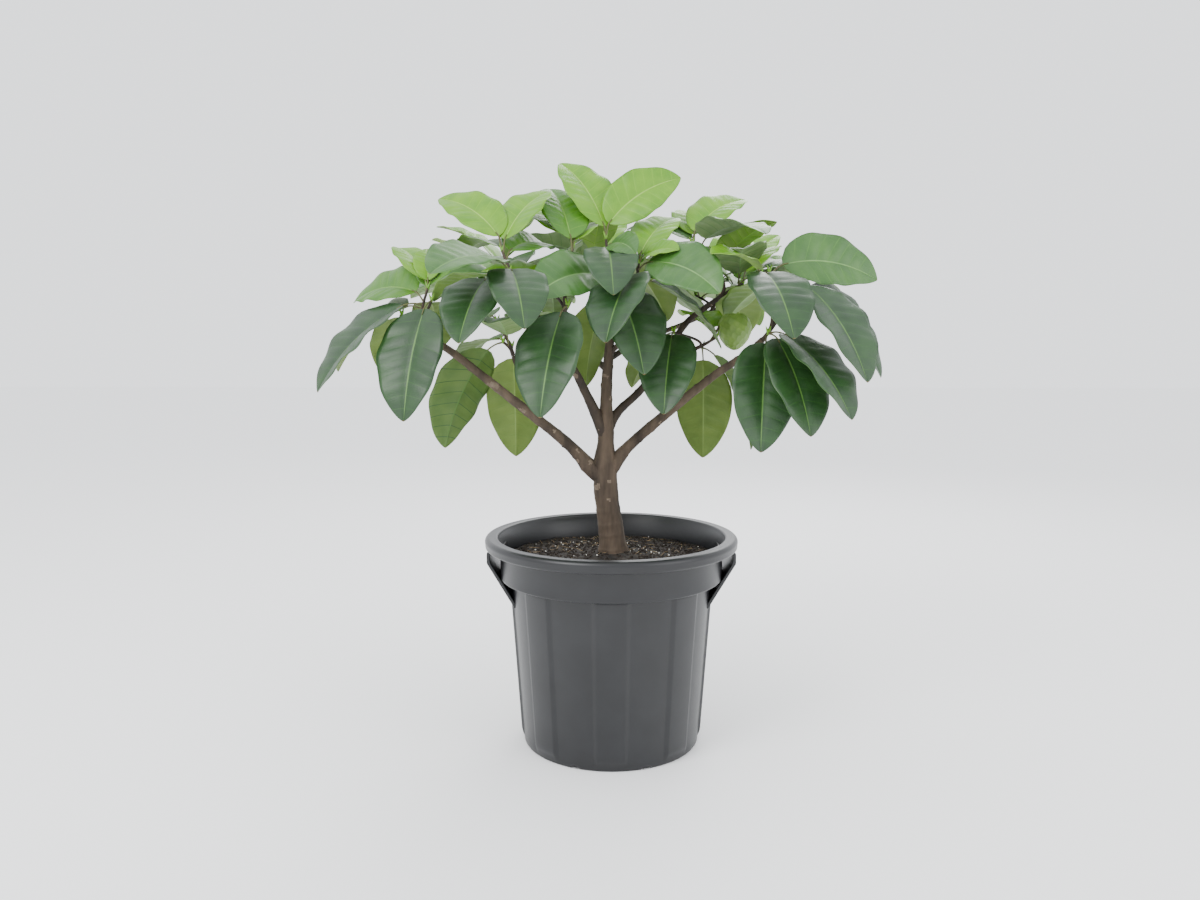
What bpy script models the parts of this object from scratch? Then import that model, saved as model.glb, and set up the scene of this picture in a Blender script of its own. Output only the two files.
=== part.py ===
"""A young cherimoya tree in a black ribbed nursery pot, about four feet tall with its pot.

The pot stands on the floor at z = 0 with its axis on Z. The front is -Y and the left is -X.
Metres throughout. Compass headings are in degrees from +X, turning towards +Y.
"""
import math
import random
from collections import namedtuple

import bmesh
import bpy
from mathutils import Vector
from mathutils.bvhtree import BVHTree

GAP = 0.0003                     # between faces that would touch
TINY = 0.00001                   # merge distance for a mesh's own doubles
FINE_WELD = 0.000001             # the same for a fused mass, whose joins have finer edges
MODEL_NAME = "potted_cherimoya"

# Pot
RIM_RADIUS = 0.270
RIM_TOP = 0.450
RIM_UNDERSIDE = 0.4255
RIM_LIP_RADIUS = 0.2453          # inner edge of the rolled rim
COLLAR_RADIUS = 0.238
COLLAR_FOOT = 0.360              # the step where the collar ends
WALL_TOP_RADIUS = 0.214
FOOT_RADIUS = 0.189
POT_WALL = 0.004
POT_FLOOR = 0.006
POT_STEPS = 72
RIB_COUNT = 8
RIB_ANGLE = 19.0
RIB_PROUD = 0.0045
RIB_FOOT = 0.013
NOTCH_WIDTH = 0.022
NOTCH_HEIGHT = 0.004
NOTCH_DEPTH = 0.014

# Strap handles, one at each side under the rim
STRAP_OUT = 0.2625               # furthest reach from the pot's axis
STRAP_BEND = 0.398               # height where the strap turns in
STRAP_FOOT = (0.206, 0.300)      # where its outer line meets the wall: radius, height
STRAP_THICK = 0.007
STRAP_WIDTH = 0.108
STRAP_EDGE = 0.0012

# Soil
SOIL_TOP = 0.412                 # flat patch under the trunk
SOIL_EDGE = 0.398
SOIL_PATCH = 0.048
SOIL_STEPS = 48

# Leaves
PETIOLE_SHARE = 0.16              # its length as a share of the blade's
PETIOLE_RADIUS = 0.0018
PETIOLE_RISE = 25.0              # the petiole stands this much above the blade's own start
LEAF_THICK = 0.0028
LEAF_RATIO = 0.58                # width to length
LEAF_FOLD = 12.0                 # each half is lifted this much from the midrib
LEAF_STATIONS = (0.20, 0.55, 0.84)
DROOP_LEAST = 16.0
DROOP_LEVEL = 30.0               # further bend of a leaf that stands out level
LEAF_TURNS = (0, 12, -12, 24, -24, 36, -36, 50, -50)
LEAF_TIPS = (0, -9, 9, -18, 18)
LEAF_CLEAR = 0.0011              # room kept round every leaf
GOLDEN_ANGLE = 137.5

# Twigs
TWIG_RADIUS = 0.0042
TWIG_TIP_RADIUS = 0.0026
TWIG_STEPS = 4
STEM_LEAD = 0.008                # straight run of every twig out of its mass's stem
TWIG_STAGGER = 0.0011
TWIG_SLIMMER = 0.08
NODE_GAP = 0.0075                # between the leaves of a rosette, down the twig from its tip

Finish = namedtuple("Finish", "colour roughness")
FINISHES = {
    "pot_plastic": Finish((0.018, 0.019, 0.022), 0.42),
    "soil": Finish((0.022, 0.016, 0.011), 0.95),
    "bark": Finish((0.085, 0.062, 0.044), 0.85),
    "leaf": Finish((0.085, 0.190, 0.030), 0.50),
}

# A limb is a tapered route. It starts inside its parent and is cut clear of the parent's skin.
# Each row of a path is a place and the radius there.
Limb = namedtuple("Limb", "parent sides path")
LIMBS = {
    "trunk": Limb(None, 12, (
        ((0.004, 0.000, SOIL_TOP - 0.012), 0.0350),
        ((0.003, 0.000, 0.422), 0.0300),
        ((0.000, 0.000, 0.455), 0.0272),
        ((-0.008, 0.000, 0.515), 0.0252),
        ((-0.012, 0.000, 0.560), 0.0258),
        ((-0.013, 0.000, 0.602), 0.0262),
        ((-0.012, 0.000, 0.645), 0.0172),
        ((-0.011, 0.000, 0.690), 0.0160),
        ((-0.011, 0.000, 0.730), 0.0126),
        ((-0.009, 0.000, 0.790), 0.0114),
        ((-0.002, 0.000, 0.880), 0.0084),
        ((-0.003, 0.000, 0.952), 0.0062),
    )),
    "bough_left": Limb("trunk", 8, (
        ((-0.010, 0.000, 0.568), 0.0200),
        ((-0.045, -0.006, 0.595), 0.0172),
        ((-0.068, -0.012, 0.622), 0.0138),
        ((-0.108, -0.024, 0.662), 0.0113),
        ((-0.222, -0.050, 0.756), 0.0092),
        ((-0.321, -0.060, 0.836), 0.0076),
        ((-0.362, -0.060, 0.862), 0.0066),
    )),
    "bough_right": Limb("trunk", 8, (
        ((-0.008, 0.000, 0.584), 0.0190),
        ((0.014, -0.002, 0.614), 0.0152),
        ((0.034, -0.007, 0.638), 0.0118),
        ((0.083, -0.020, 0.684), 0.0109),
        ((0.207, -0.050, 0.789), 0.0080),
        ((0.279, -0.068, 0.839), 0.0072),
        ((0.304, -0.074, 0.864), 0.0064),
    )),
    "bough_left_high": Limb("trunk", 8, (
        ((-0.011, 0.000, 0.655), 0.0135),
        ((-0.036, -0.012, 0.717), 0.0112),
        ((-0.055, -0.028, 0.758), 0.0090),
        ((-0.082, -0.050, 0.811), 0.0078),
        ((-0.147, -0.088, 0.908), 0.0064),
        ((-0.184, -0.100, 0.970), 0.0054),
    )),
    "bough_right_high": Limb("trunk", 8, (
        ((-0.011, 0.000, 0.668), 0.0120),
        ((0.014, 0.012, 0.712), 0.0092),
        ((0.063, 0.030, 0.758), 0.0080),
        ((0.110, 0.046, 0.820), 0.0074),
        ((0.159, 0.060, 0.898), 0.0068),
        ((0.222, 0.062, 0.948), 0.0056),
    )),
    "bough_back": Limb("trunk", 8, (
        ((-0.010, 0.002, 0.690), 0.0110),
        ((-0.010, 0.045, 0.740), 0.0090),
        ((-0.008, 0.120, 0.815), 0.0078),
        ((-0.004, 0.185, 0.880), 0.0066),
        ((0.004, 0.225, 0.935), 0.0054),
    )),
    "bough_back_left": Limb("bough_back", 8, (
        ((-0.009, 0.100, 0.797), 0.0070),
        ((-0.070, 0.165, 0.850), 0.0062),
        ((-0.150, 0.220, 0.890), 0.0056),
        ((-0.215, 0.250, 0.925), 0.0050),
    )),
    "bough_back_right": Limb("bough_back", 8, (
        ((-0.008, 0.125, 0.820), 0.0068),
        ((0.065, 0.180, 0.862), 0.0060),
        ((0.150, 0.225, 0.893), 0.0054),
        ((0.215, 0.255, 0.920), 0.0050),
    )),
    "spur_left": Limb("bough_left", 8, (
        ((-0.152, -0.037, 0.703), 0.0052),
        ((-0.180, -0.038, 0.760), 0.0046),
        ((-0.203, -0.038, 0.832), 0.0042),
    )),
    "spur_high": Limb("bough_left_high", 8, (
        ((-0.078, -0.048, 0.804), 0.0056),
        ((-0.088, -0.080, 0.858), 0.0050),
        ((-0.092, -0.100, 0.908), 0.0046),
    )),
    "spur_middle": Limb("trunk", 8, (
        ((-0.004, 0.000, 0.836), 0.0056),
        ((0.028, -0.016, 0.872), 0.0050),
        ((0.042, -0.034, 0.915), 0.0046),
        ((0.048, -0.042, 0.958), 0.0043),
    )),
    "spur_right": Limb("bough_right_high", 8, (
        ((0.104, 0.045, 0.812), 0.0052),
        ((0.142, 0.050, 0.828), 0.0047),
        ((0.174, 0.054, 0.842), 0.0043),
    )),
}

# A leaf is its compass heading, its lift above level, its blade's length and how far the
# blade is turned about its midrib to face the front.
Leaf = namedtuple("Leaf", "heading lift length face", defaults=(0,))
# A twig grows from its mass's stem to its tip. Its leaves are listed youngest first, the
# rest follow by the golden angle.
Twig = namedtuple("Twig", "tip leaves more", defaults=((), 0))
# A mass grows from its limb's tip and stays within its reach of it and above its floor.
Mass = namedtuple("Mass", "limb reach floor seed twigs")
MASSES = {
    "leaves_top": Mass("trunk", 0.37, 0.70, 11, (
        Twig((-0.012, 0.000, 1.075), (
            Leaf(16, 32, 0.190, 62), Leaf(135, 47, 0.200, 16), Leaf(40, 72, 0.090, 20),
            Leaf(-61, -15, 0.110, 40), Leaf(-86, -33, 0.190)), 1),
        Twig((-0.001, -0.010, 0.980), (
            Leaf(-144, -15, 0.205, 46), Leaf(-59, -47, 0.240), Leaf(128, -72, 0.200)), 0),
    )),
    "leaves_middle": Mass("spur_middle", 0.34, 0.72, 12, (
        Twig((0.056, -0.040, 1.020), (
            Leaf(-40, 6, 0.095, 40), Leaf(56, 31, 0.170, 10), Leaf(-46, -20, 0.205, 44),
            Leaf(115, 18, 0.130)), 2),
    )),
    "leaves_left_high": Mass("bough_left_high", 0.36, 0.68, 13, (
        Twig((-0.218, -0.095, 1.042), (
            Leaf(146, 28, 0.185, 30), Leaf(56, 37, 0.185, 6), Leaf(121, 0, 0.180),
            Leaf(64, 5, 0.170, 25)), 0),
        Twig((-0.201, -0.128, 0.996), (Leaf(-76, -36, 0.200), Leaf(-122, -9, 0.215, 20)), 0),
        Twig((-0.236, -0.115, 0.980), (Leaf(-102, -38, 0.205), Leaf(150, -20, 0.150)), 0),
    )),
    "leaves_left_crest": Mass("spur_high", 0.36, 0.66, 14, (
        Twig((-0.079, -0.032, 1.052), (
            Leaf(129, 19, 0.175, 12), Leaf(75, 26, 0.150), Leaf(99, 40, 0.185),
            Leaf(-20, -30, 0.130, 20)), 1),
        Twig((-0.086, -0.132, 0.932), (Leaf(-108, -60, 0.230),), 0),
        Twig((-0.126, -0.062, 0.962), (Leaf(90, -24, 0.170), Leaf(-175, 10, 0.150, 20)), 0),
    )),
    "leaves_left": Mass("bough_left", 0.44, 0.64, 15, (
        Twig((-0.375, -0.050, 0.970), (
            Leaf(100, 42, 0.105), Leaf(124, 28, 0.160), Leaf(69, 48, 0.160),
            Leaf(66, 34, 0.175), Leaf(144, -5, 0.200, 40), Leaf(-162, -45, 0.250, 15),
            Leaf(176, -35, 0.245, 30)), 0),
        Twig((-0.364, -0.074, 0.944), (Leaf(-106, -66, 0.240), Leaf(94, -36, 0.170)), 0),
        Twig((-0.428, -0.058, 0.916), (Leaf(110, -50, 0.190, 10),), 0),
    )),
    "leaves_left_inner": Mass("spur_left", 0.36, 0.60, 16, (
        Twig((-0.224, -0.036, 0.860), (
            Leaf(164, -64, 0.235, -32), Leaf(132, -22, 0.170, 10)), 1),
        Twig((-0.235, -0.046, 0.902), (Leaf(172, -20, 0.170, 20), Leaf(40, -8, 0.150)), 0),
        Twig((-0.208, -0.014, 0.850), (Leaf(90, -79, 0.220),), 1),
    )),
    "leaves_right_high": Mass("bough_right_high", 0.36, 0.68, 17, (
        Twig((0.169, 0.030, 1.065), (
            Leaf(41, 26, 0.180, 20), Leaf(122, 30, 0.175), Leaf(160, 10, 0.150, 20)), 1),
        Twig((0.286, 0.094, 0.985), (Leaf(60, 20, 0.180), Leaf(84, -44, 0.190)), 2),
    )),
    "leaves_right_inner": Mass("spur_right", 0.34, 0.60, 18, (
        Twig((0.226, 0.052, 0.870), (Leaf(100, 10, 0.160),), 0),
        Twig((0.197, 0.072, 0.848), (Leaf(78, -86, 0.220), Leaf(8, -68, 0.220, -20)), 0),
        Twig((0.130, -0.008, 0.880), (Leaf(-100, -50, 0.205), Leaf(122, -48, 0.160)), 0),
    )),
    "leaves_right": Mass("bough_right", 0.44, 0.60, 19, (
        Twig((0.320, -0.050, 1.002), (
            Leaf(107, 58, 0.130), Leaf(11, -8, 0.215, 62), Leaf(118, 17, 0.210, 28)), 0),
        Twig((0.299, -0.074, 0.994), (Leaf(-80, -38, 0.215), Leaf(-140, 10, 0.140, 20)), 0),
        Twig((0.369, -0.050, 0.986), (
            Leaf(30, 20, 0.090), Leaf(-53, -50, 0.250), Leaf(12, -48, 0.250, 40)), 1),
        Twig((0.314, -0.092, 0.878), (
            Leaf(-48, -44, 0.235), Leaf(-67, -56, 0.225), Leaf(-90, -66, 0.230, 20)), 0),
    )),
    "leaves_back": Mass("bough_back", 0.36, 0.76, 20, (
        Twig((-0.045, 0.250, 1.040), (), 5),
        Twig((0.055, 0.300, 1.010), (), 5),
    )),
    "leaves_back_left": Mass("bough_back_left", 0.36, 0.66, 21, (
        Twig((-0.250, 0.215, 1.020), (), 5),
        Twig((-0.300, 0.300, 0.985), (), 5),
        Twig((-0.215, 0.345, 0.975), (), 4),
    )),
    "leaves_back_right": Mass("bough_back_right", 0.36, 0.66, 22, (
        Twig((0.245, 0.220, 1.010), (), 5),
        Twig((0.300, 0.305, 0.980), (), 5),
        Twig((0.205, 0.350, 0.970), (), 4),
    )),
}

# The fruit hangs from one twig of its mass.
FRUIT_MASS = "leaves_right_inner"
FRUIT_PLACE = (0.266, 0.068, 0.884)
FRUIT_RADIUS = 0.037
FRUIT_TALL = 1.14
FRUIT_STALK = 0.0028


def clear_scene():
    for item in list(bpy.data.objects):
        bpy.data.objects.remove(item)


def new_collection(name):
    collection = bpy.data.collections.new(name)
    bpy.context.scene.collection.children.link(collection)
    return collection


def finish_material(name):
    """The Principled material of one finish, made once."""
    if name in bpy.data.materials:
        return bpy.data.materials[name]
    material = bpy.data.materials.new(name)
    material.use_nodes = True
    shader = material.node_tree.nodes["Principled BSDF"]
    shader.inputs["Base Color"].default_value = (*FINISHES[name].colour, 1.0)
    shader.inputs["Roughness"].default_value = FINISHES[name].roughness
    shader.inputs["Metallic"].default_value = 0.0
    return material


def add_object(name, mesh, collection, finish=None):
    item = bpy.data.objects.new(name, mesh)
    collection.objects.link(item)
    if finish:
        mesh.materials.clear()
        mesh.materials.append(finish_material(finish))
    return item


def evaluated_mesh(item, weld=TINY):
    """The object's mesh as its modifiers leave it, with its doubles welded."""
    graph = bpy.context.evaluated_depsgraph_get()
    mesh = bpy.data.meshes.new_from_object(item.evaluated_get(graph))
    work = bmesh.new()
    work.from_mesh(mesh)
    bmesh.ops.remove_doubles(work, verts=work.verts, dist=weld)
    work.to_mesh(mesh)
    work.free()
    return mesh


def apply_modifiers(item, weld=TINY):
    mesh = evaluated_mesh(item, weld)
    item.modifiers.clear()
    item.data = mesh


def shade_round(mesh):
    """Smooth shading that keeps the edges sharper than 35 degrees."""
    mesh.shade_smooth()
    mesh.set_sharp_from_angle(angle=math.radians(35.0))


def remove_collection(collection):
    for item in list(collection.objects):
        bpy.data.objects.remove(item)
    bpy.data.collections.remove(collection)


def boolean(item, collection, operation, solver="EXACT"):
    modifier = item.modifiers.new(operation.lower(), "BOOLEAN")
    modifier.operation = operation
    modifier.operand_type = "COLLECTION"
    modifier.collection = collection
    modifier.solver = solver


def hide_as_cutter(item):
    item.hide_render = True
    item.display_type = "WIRE"


def turned_mesh(name, profile, steps):
    """A profile in the XZ plane, running down its outer side, turned round Z."""
    mesh = bpy.data.meshes.new(name)
    work = bmesh.new()
    corners = [work.verts.new((radius, 0.0, height)) for radius, height in profile]
    for upper, lower in zip(corners, corners[1:]):
        work.edges.new((upper, lower))
    work.to_mesh(mesh)
    work.free()
    item = bpy.data.objects.new(name, mesh)
    bpy.context.scene.collection.objects.link(item)
    screw = item.modifiers.new("turn", "SCREW")
    screw.steps = steps
    screw.render_steps = steps
    screw.use_merge_vertices = True
    screw.merge_threshold = TINY
    turned = evaluated_mesh(item)
    bpy.data.objects.remove(item)
    return turned


def wall_radius(height):
    """The pot's outer wall below the collar, without its ribs."""
    return FOOT_RADIUS + (WALL_TOP_RADIUS - FOOT_RADIUS) * height / COLLAR_FOOT


def rim_profile():
    """The rolled rim from its inner lip over the top to its underside."""
    return (
        (RIM_LIP_RADIUS, RIM_TOP - 0.005),
        (RIM_LIP_RADIUS + 0.005, RIM_TOP),
        (RIM_RADIUS - 0.008, RIM_TOP - 0.001),
        (RIM_RADIUS - 0.002, RIM_TOP - 0.007),
        (RIM_RADIUS, RIM_TOP - 0.015),
        (RIM_RADIUS - 0.002, RIM_UNDERSIDE + 0.003),
        (RIM_RADIUS - 0.006, RIM_UNDERSIDE),
    )


def pot_mesh():
    inner_foot = wall_radius(POT_FLOOR) - POT_WALL
    inner_shoulder = wall_radius(COLLAR_FOOT) - POT_WALL
    profile = (
        (0.0, POT_FLOOR),
        (inner_foot, POT_FLOOR),
        (inner_shoulder, COLLAR_FOOT + 0.001),
        (COLLAR_RADIUS - POT_WALL, COLLAR_FOOT + 0.005),
        (COLLAR_RADIUS - POT_WALL, RIM_UNDERSIDE + 0.002),
        *rim_profile(),
        (COLLAR_RADIUS, RIM_UNDERSIDE),
        (COLLAR_RADIUS, COLLAR_FOOT + 0.003),
        (COLLAR_RADIUS - 0.003, COLLAR_FOOT),
        (wall_radius(COLLAR_FOOT), COLLAR_FOOT),
        (wall_radius(0.003), 0.003),
        (FOOT_RADIUS - 0.002, 0.0),
        (0.0, 0.0),
    )
    return turned_mesh("pot", profile, POT_STEPS)


def rib_mesh(centre):
    """One raised rib: the wall's side view, swept a few degrees round the axis."""
    work = bmesh.new()
    top = COLLAR_FOOT + 0.001
    sunk = POT_WALL / 2
    corners = [
        (wall_radius(RIB_FOOT) - sunk, RIB_FOOT),
        (wall_radius(RIB_FOOT) + RIB_PROUD, RIB_FOOT + 0.003),
        (wall_radius(top) + RIB_PROUD, top),
        (wall_radius(top) - sunk, top),
    ]
    start = math.radians(centre - RIB_ANGLE / 2)
    verts = [
        work.verts.new((radius * math.cos(start), radius * math.sin(start), height))
        for radius, height in corners
    ]
    face = work.faces.new(verts)
    bmesh.ops.spin(
        work, geom=[face], cent=(0, 0, 0), axis=(0, 0, 1),
        angle=math.radians(RIB_ANGLE), steps=4, use_merge=False, use_duplicate=False)
    bmesh.ops.recalc_face_normals(work, faces=work.faces)
    mesh = bpy.data.meshes.new("rib")
    work.to_mesh(mesh)
    work.free()
    return mesh


def build_pot(model):
    pot = add_object("pot", pot_mesh(), model, "pot_plastic")
    ribs = new_collection("ribs")
    notches = new_collection("notches")
    spacing = 360.0 / RIB_COUNT
    for index in range(RIB_COUNT):
        add_object(f"rib_{index}", rib_mesh(index * spacing), ribs)
        angle = math.radians((index + 0.5) * spacing)
        bpy.ops.mesh.primitive_cube_add(size=1.0)
        notch = bpy.context.active_object
        notch.name = f"notch_{index}"
        reach = FOOT_RADIUS - NOTCH_DEPTH / 2 + 0.003
        notch.location = (reach * math.cos(angle), reach * math.sin(angle), 0.0)
        notch.rotation_euler = (0.0, 0.0, angle)
        notch.scale = (NOTCH_DEPTH + 0.006, NOTCH_WIDTH, NOTCH_HEIGHT * 2)
        for owner in list(notch.users_collection):
            owner.objects.unlink(notch)
        notches.objects.link(notch)
        hide_as_cutter(notch)
    boolean(pot, ribs, "UNION")
    boolean(pot, notches, "DIFFERENCE")
    apply_modifiers(pot)
    pot.data.materials.clear()
    pot.data.materials.append(finish_material("pot_plastic"))
    shade_round(pot.data)
    remove_collection(ribs)
    remove_collection(notches)


def strap_outline():
    """The strap's side view: out under the rim, round the bend and in to the wall."""
    top = RIM_UNDERSIDE - GAP
    inner = STRAP_OUT - STRAP_THICK
    run = Vector((STRAP_OUT - STRAP_FOOT[0], STRAP_BEND - STRAP_FOOT[1])).normalized()
    inward = Vector((-run.y, run.x)) * STRAP_THICK
    lower_inner = Vector(STRAP_FOOT) + inward
    bend_inner = lower_inner + run * ((inner - lower_inner.x) / run.x)
    return (
        (COLLAR_RADIUS - 0.010, top),
        (STRAP_OUT - 0.009, top),
        (STRAP_OUT - 0.0025, top - 0.0035),
        (STRAP_OUT, top - 0.010),
        (STRAP_OUT, STRAP_BEND + 0.004),
        (STRAP_OUT - 0.0015, STRAP_BEND - 0.003),
        STRAP_FOOT,
        tuple(lower_inner),
        (bend_inner.x - 0.001, bend_inner.y - 0.002),
        (inner, bend_inner.y + 0.003),
        (inner, top - 0.011),
        (inner - 0.004, top - STRAP_THICK),
        (COLLAR_RADIUS - 0.010, top - STRAP_THICK),
    )


def strap_mesh():
    curve = bpy.data.curves.new("strap", "CURVE")
    curve.dimensions = "2D"
    curve.fill_mode = "BOTH"
    curve.extrude = STRAP_WIDTH / 2 - STRAP_EDGE
    curve.bevel_depth = STRAP_EDGE
    curve.bevel_resolution = 0
    curve.offset = -STRAP_EDGE
    outline = strap_outline()
    spline = curve.splines.new("POLY")
    spline.points.add(len(outline) - 1)
    spline.use_cyclic_u = True
    for point, (radius, height) in zip(spline.points, outline):
        point.co = (radius, height, 0.0, 1.0)
    item = bpy.data.objects.new("strap", curve)
    bpy.context.scene.collection.objects.link(item)
    mesh = evaluated_mesh(item)
    bpy.data.objects.remove(item)
    # The outline is drawn flat in XY, so it is stood up with its height along Z.
    work = bmesh.new()
    work.from_mesh(mesh)
    for vert in work.verts:
        vert.co = Vector((vert.co.x, -vert.co.z, vert.co.y))
    bmesh.ops.recalc_face_normals(work, faces=work.faces)
    work.to_mesh(mesh)
    work.free()
    return mesh


def build_handles(model):
    """Two moulded straps, cut clear of the pot's outside."""
    outside = (
        (0.0, COLLAR_FOOT + 0.090),
        (COLLAR_RADIUS + GAP, COLLAR_FOOT + 0.090),
        (COLLAR_RADIUS + GAP, COLLAR_FOOT - GAP),
        (wall_radius(COLLAR_FOOT) + RIB_PROUD + GAP, COLLAR_FOOT - GAP),
        (wall_radius(0.25) + RIB_PROUD + GAP, 0.25),
        (0.0, 0.25),
    )
    cutters = new_collection("pot_outside")
    cutter = add_object("pot_outside", turned_mesh("pot_outside", outside, POT_STEPS), cutters)
    hide_as_cutter(cutter)
    for name, side in (("handle_right", 1), ("handle_left", -1)):
        mesh = strap_mesh()
        if side < 0:
            work = bmesh.new()
            work.from_mesh(mesh)
            for vert in work.verts:
                vert.co.x = -vert.co.x
            bmesh.ops.reverse_faces(work, faces=work.faces)
            work.to_mesh(mesh)
            work.free()
        handle = add_object(name, mesh, model, "pot_plastic")
        boolean(handle, cutters, "DIFFERENCE")
        apply_modifiers(handle)
        handle.data.materials.clear()
        handle.data.materials.append(finish_material("pot_plastic"))
        shade_round(handle.data)
    remove_collection(cutters)


def build_soil(model):
    inner_foot = wall_radius(POT_FLOOR) - POT_WALL - GAP
    inner_shoulder = wall_radius(COLLAR_FOOT) - POT_WALL - GAP
    collar_inside = COLLAR_RADIUS - POT_WALL - GAP
    profile = (
        (0.0, SOIL_TOP),
        (SOIL_PATCH, SOIL_TOP),
        (SOIL_PATCH + 0.035, SOIL_TOP - 0.007),
        (0.150, SOIL_EDGE + 0.002),
        (collar_inside - 0.006, SOIL_EDGE),
        (collar_inside, SOIL_EDGE - 0.003),
        (collar_inside, COLLAR_FOOT + 0.0055),
        (inner_shoulder, COLLAR_FOOT + 0.0015),
        (inner_foot, POT_FLOOR + GAP),
        (0.0, POT_FLOOR + GAP),
    )
    soil = add_object("soil", turned_mesh("soil", profile, SOIL_STEPS), model, "soil")
    shade_round(soil.data)


def smooth_route(path, spans):
    """Points and radii along a Catmull-Rom curve through a path's rows."""
    places = [Vector(place) for place, _ in path]
    radii = [radius for _, radius in path]
    before = [places[0] * 2 - places[1]] + places[:-1]
    after = places[1:] + [places[-1] * 2 - places[-2]]
    route = []
    for index in range(len(places) - 1):
        start, end = places[index], places[index + 1]
        leave = (end - before[index]) / 2
        arrive = (after[index + 1] - start) / 2
        for step in range(spans):
            t = step / spans
            place = (
                start * (2 * t**3 - 3 * t**2 + 1) + leave * (t**3 - 2 * t**2 + t)
                + end * (3 * t**2 - 2 * t**3) + arrive * (t**3 - t**2))
            route.append((place, radii[index] + (radii[index + 1] - radii[index]) * t))
    route.append((places[-1], radii[-1]))
    return route


def tube_mesh(name, route, sides, extra=0.0):
    """A tapered tube with flat ends along a route of points and radii."""
    curve = bpy.data.curves.new(name, "CURVE")
    curve.dimensions = "3D"
    curve.bevel_depth = 1.0
    curve.bevel_resolution = (sides - 4) // 2
    curve.use_fill_caps = True
    spline = curve.splines.new("POLY")
    spline.points.add(len(route) - 1)
    for point, (place, radius) in zip(spline.points, route):
        point.co = (*place, 1.0)
        point.radius = radius + extra
    item = bpy.data.objects.new(name, curve)
    bpy.context.scene.collection.objects.link(item)
    mesh = evaluated_mesh(item)
    bpy.data.objects.remove(item)
    work = bmesh.new()
    work.from_mesh(mesh)
    bmesh.ops.recalc_face_normals(work, faces=work.faces)
    work.to_mesh(mesh)
    work.free()
    return mesh


def cut_flat(mesh, height):
    """Cut a closed mesh level and keep what is above."""
    work = bmesh.new()
    work.from_mesh(mesh)
    geometry = work.verts[:] + work.edges[:] + work.faces[:]
    bmesh.ops.bisect_plane(
        work, geom=geometry, dist=TINY, plane_co=(0, 0, height), plane_no=(0, 0, 1),
        clear_inner=True)
    rim = [edge for edge in work.edges if edge.is_boundary]
    bmesh.ops.contextual_create(work, geom=rim)
    bmesh.ops.recalc_face_normals(work, faces=work.faces)
    work.to_mesh(mesh)
    work.free()


def mesh_tree(mesh):
    work = bmesh.new()
    work.from_mesh(mesh)
    tree = BVHTree.FromBMesh(work)
    work.free()
    return tree


def build_limbs(model):
    """The trunk and every bough, each cut clear of its parent and its earlier neighbours."""
    routes = {}
    for name, limb in LIMBS.items():
        routes[name] = smooth_route(limb.path, 2)
        mesh = tube_mesh(name, routes[name], limb.sides)
        if not limb.parent:
            cut_flat(mesh, SOIL_TOP + GAP)
        item = add_object(name, mesh, model, "bark")
        if limb.parent:
            cutters = new_collection("skins")
            for other in routes:
                if other == limb.parent or (other != name and LIMBS[other].parent == limb.parent):
                    skin = tube_mesh("skin", routes[other], LIMBS[other].sides, GAP)
                    hide_as_cutter(add_object("skin", skin, cutters))
            boolean(item, cutters, "DIFFERENCE")
            apply_modifiers(item)
            keep_largest_body(item.data)
            item.data.materials.clear()
            item.data.materials.append(finish_material("bark"))
            remove_collection(cutters)
        item.data.shade_smooth()
    return routes


def half_width(along):
    """A blade's half width at a share of its length, 1 at the widest."""
    widest = 0.55 / 1.30
    peak = widest**0.55 * (1 - widest)**0.75
    return along**0.55 * (1 - along)**0.75 / peak


class Blade:
    """One leaf's midrib: a petiole and then an arc that bends down towards the tip."""

    def __init__(self, foot, leaf):
        heading = math.radians(leaf.heading)
        self.out = Vector((math.cos(heading), math.sin(heading), 0.0))
        self.side = self.out.cross(Vector((0.0, 0.0, 1.0)))
        self.length = leaf.length
        self.foot = foot
        lift = math.radians(leaf.lift)
        bend = DROOP_LEAST + DROOP_LEVEL * math.cos(lift)
        self.bend = math.radians(bend)
        self.start = lift + self.bend / 2
        rise = min(leaf.lift + bend / 2 + PETIOLE_RISE, 80.0)
        self.petiole = self.direction(math.radians(rise)) * PETIOLE_SHARE * leaf.length
        self.roll = math.radians(leaf.face) * (1 if self.out.x >= 0 else -1)

    def direction(self, rise):
        return self.out * math.cos(rise) + Vector((0.0, 0.0, math.sin(rise)))

    def place(self, along):
        rise = self.start - self.bend * along
        level = (math.sin(self.start) - math.sin(rise)) / self.bend
        height = (math.cos(rise) - math.cos(self.start)) / self.bend
        offset = self.out * level + Vector((0.0, 0.0, height))
        return self.foot + self.petiole + offset * self.length

    def axes(self, along):
        """The sideways and upward directions of the blade there."""
        rise = self.start - self.bend * along
        up = self.out * -math.sin(rise) + Vector((0.0, 0.0, math.cos(rise)))
        turned_up = up * math.cos(self.roll) + self.side * math.sin(self.roll)
        turned_side = self.side * math.cos(self.roll) - up * math.sin(self.roll)
        return turned_side, turned_up


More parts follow.
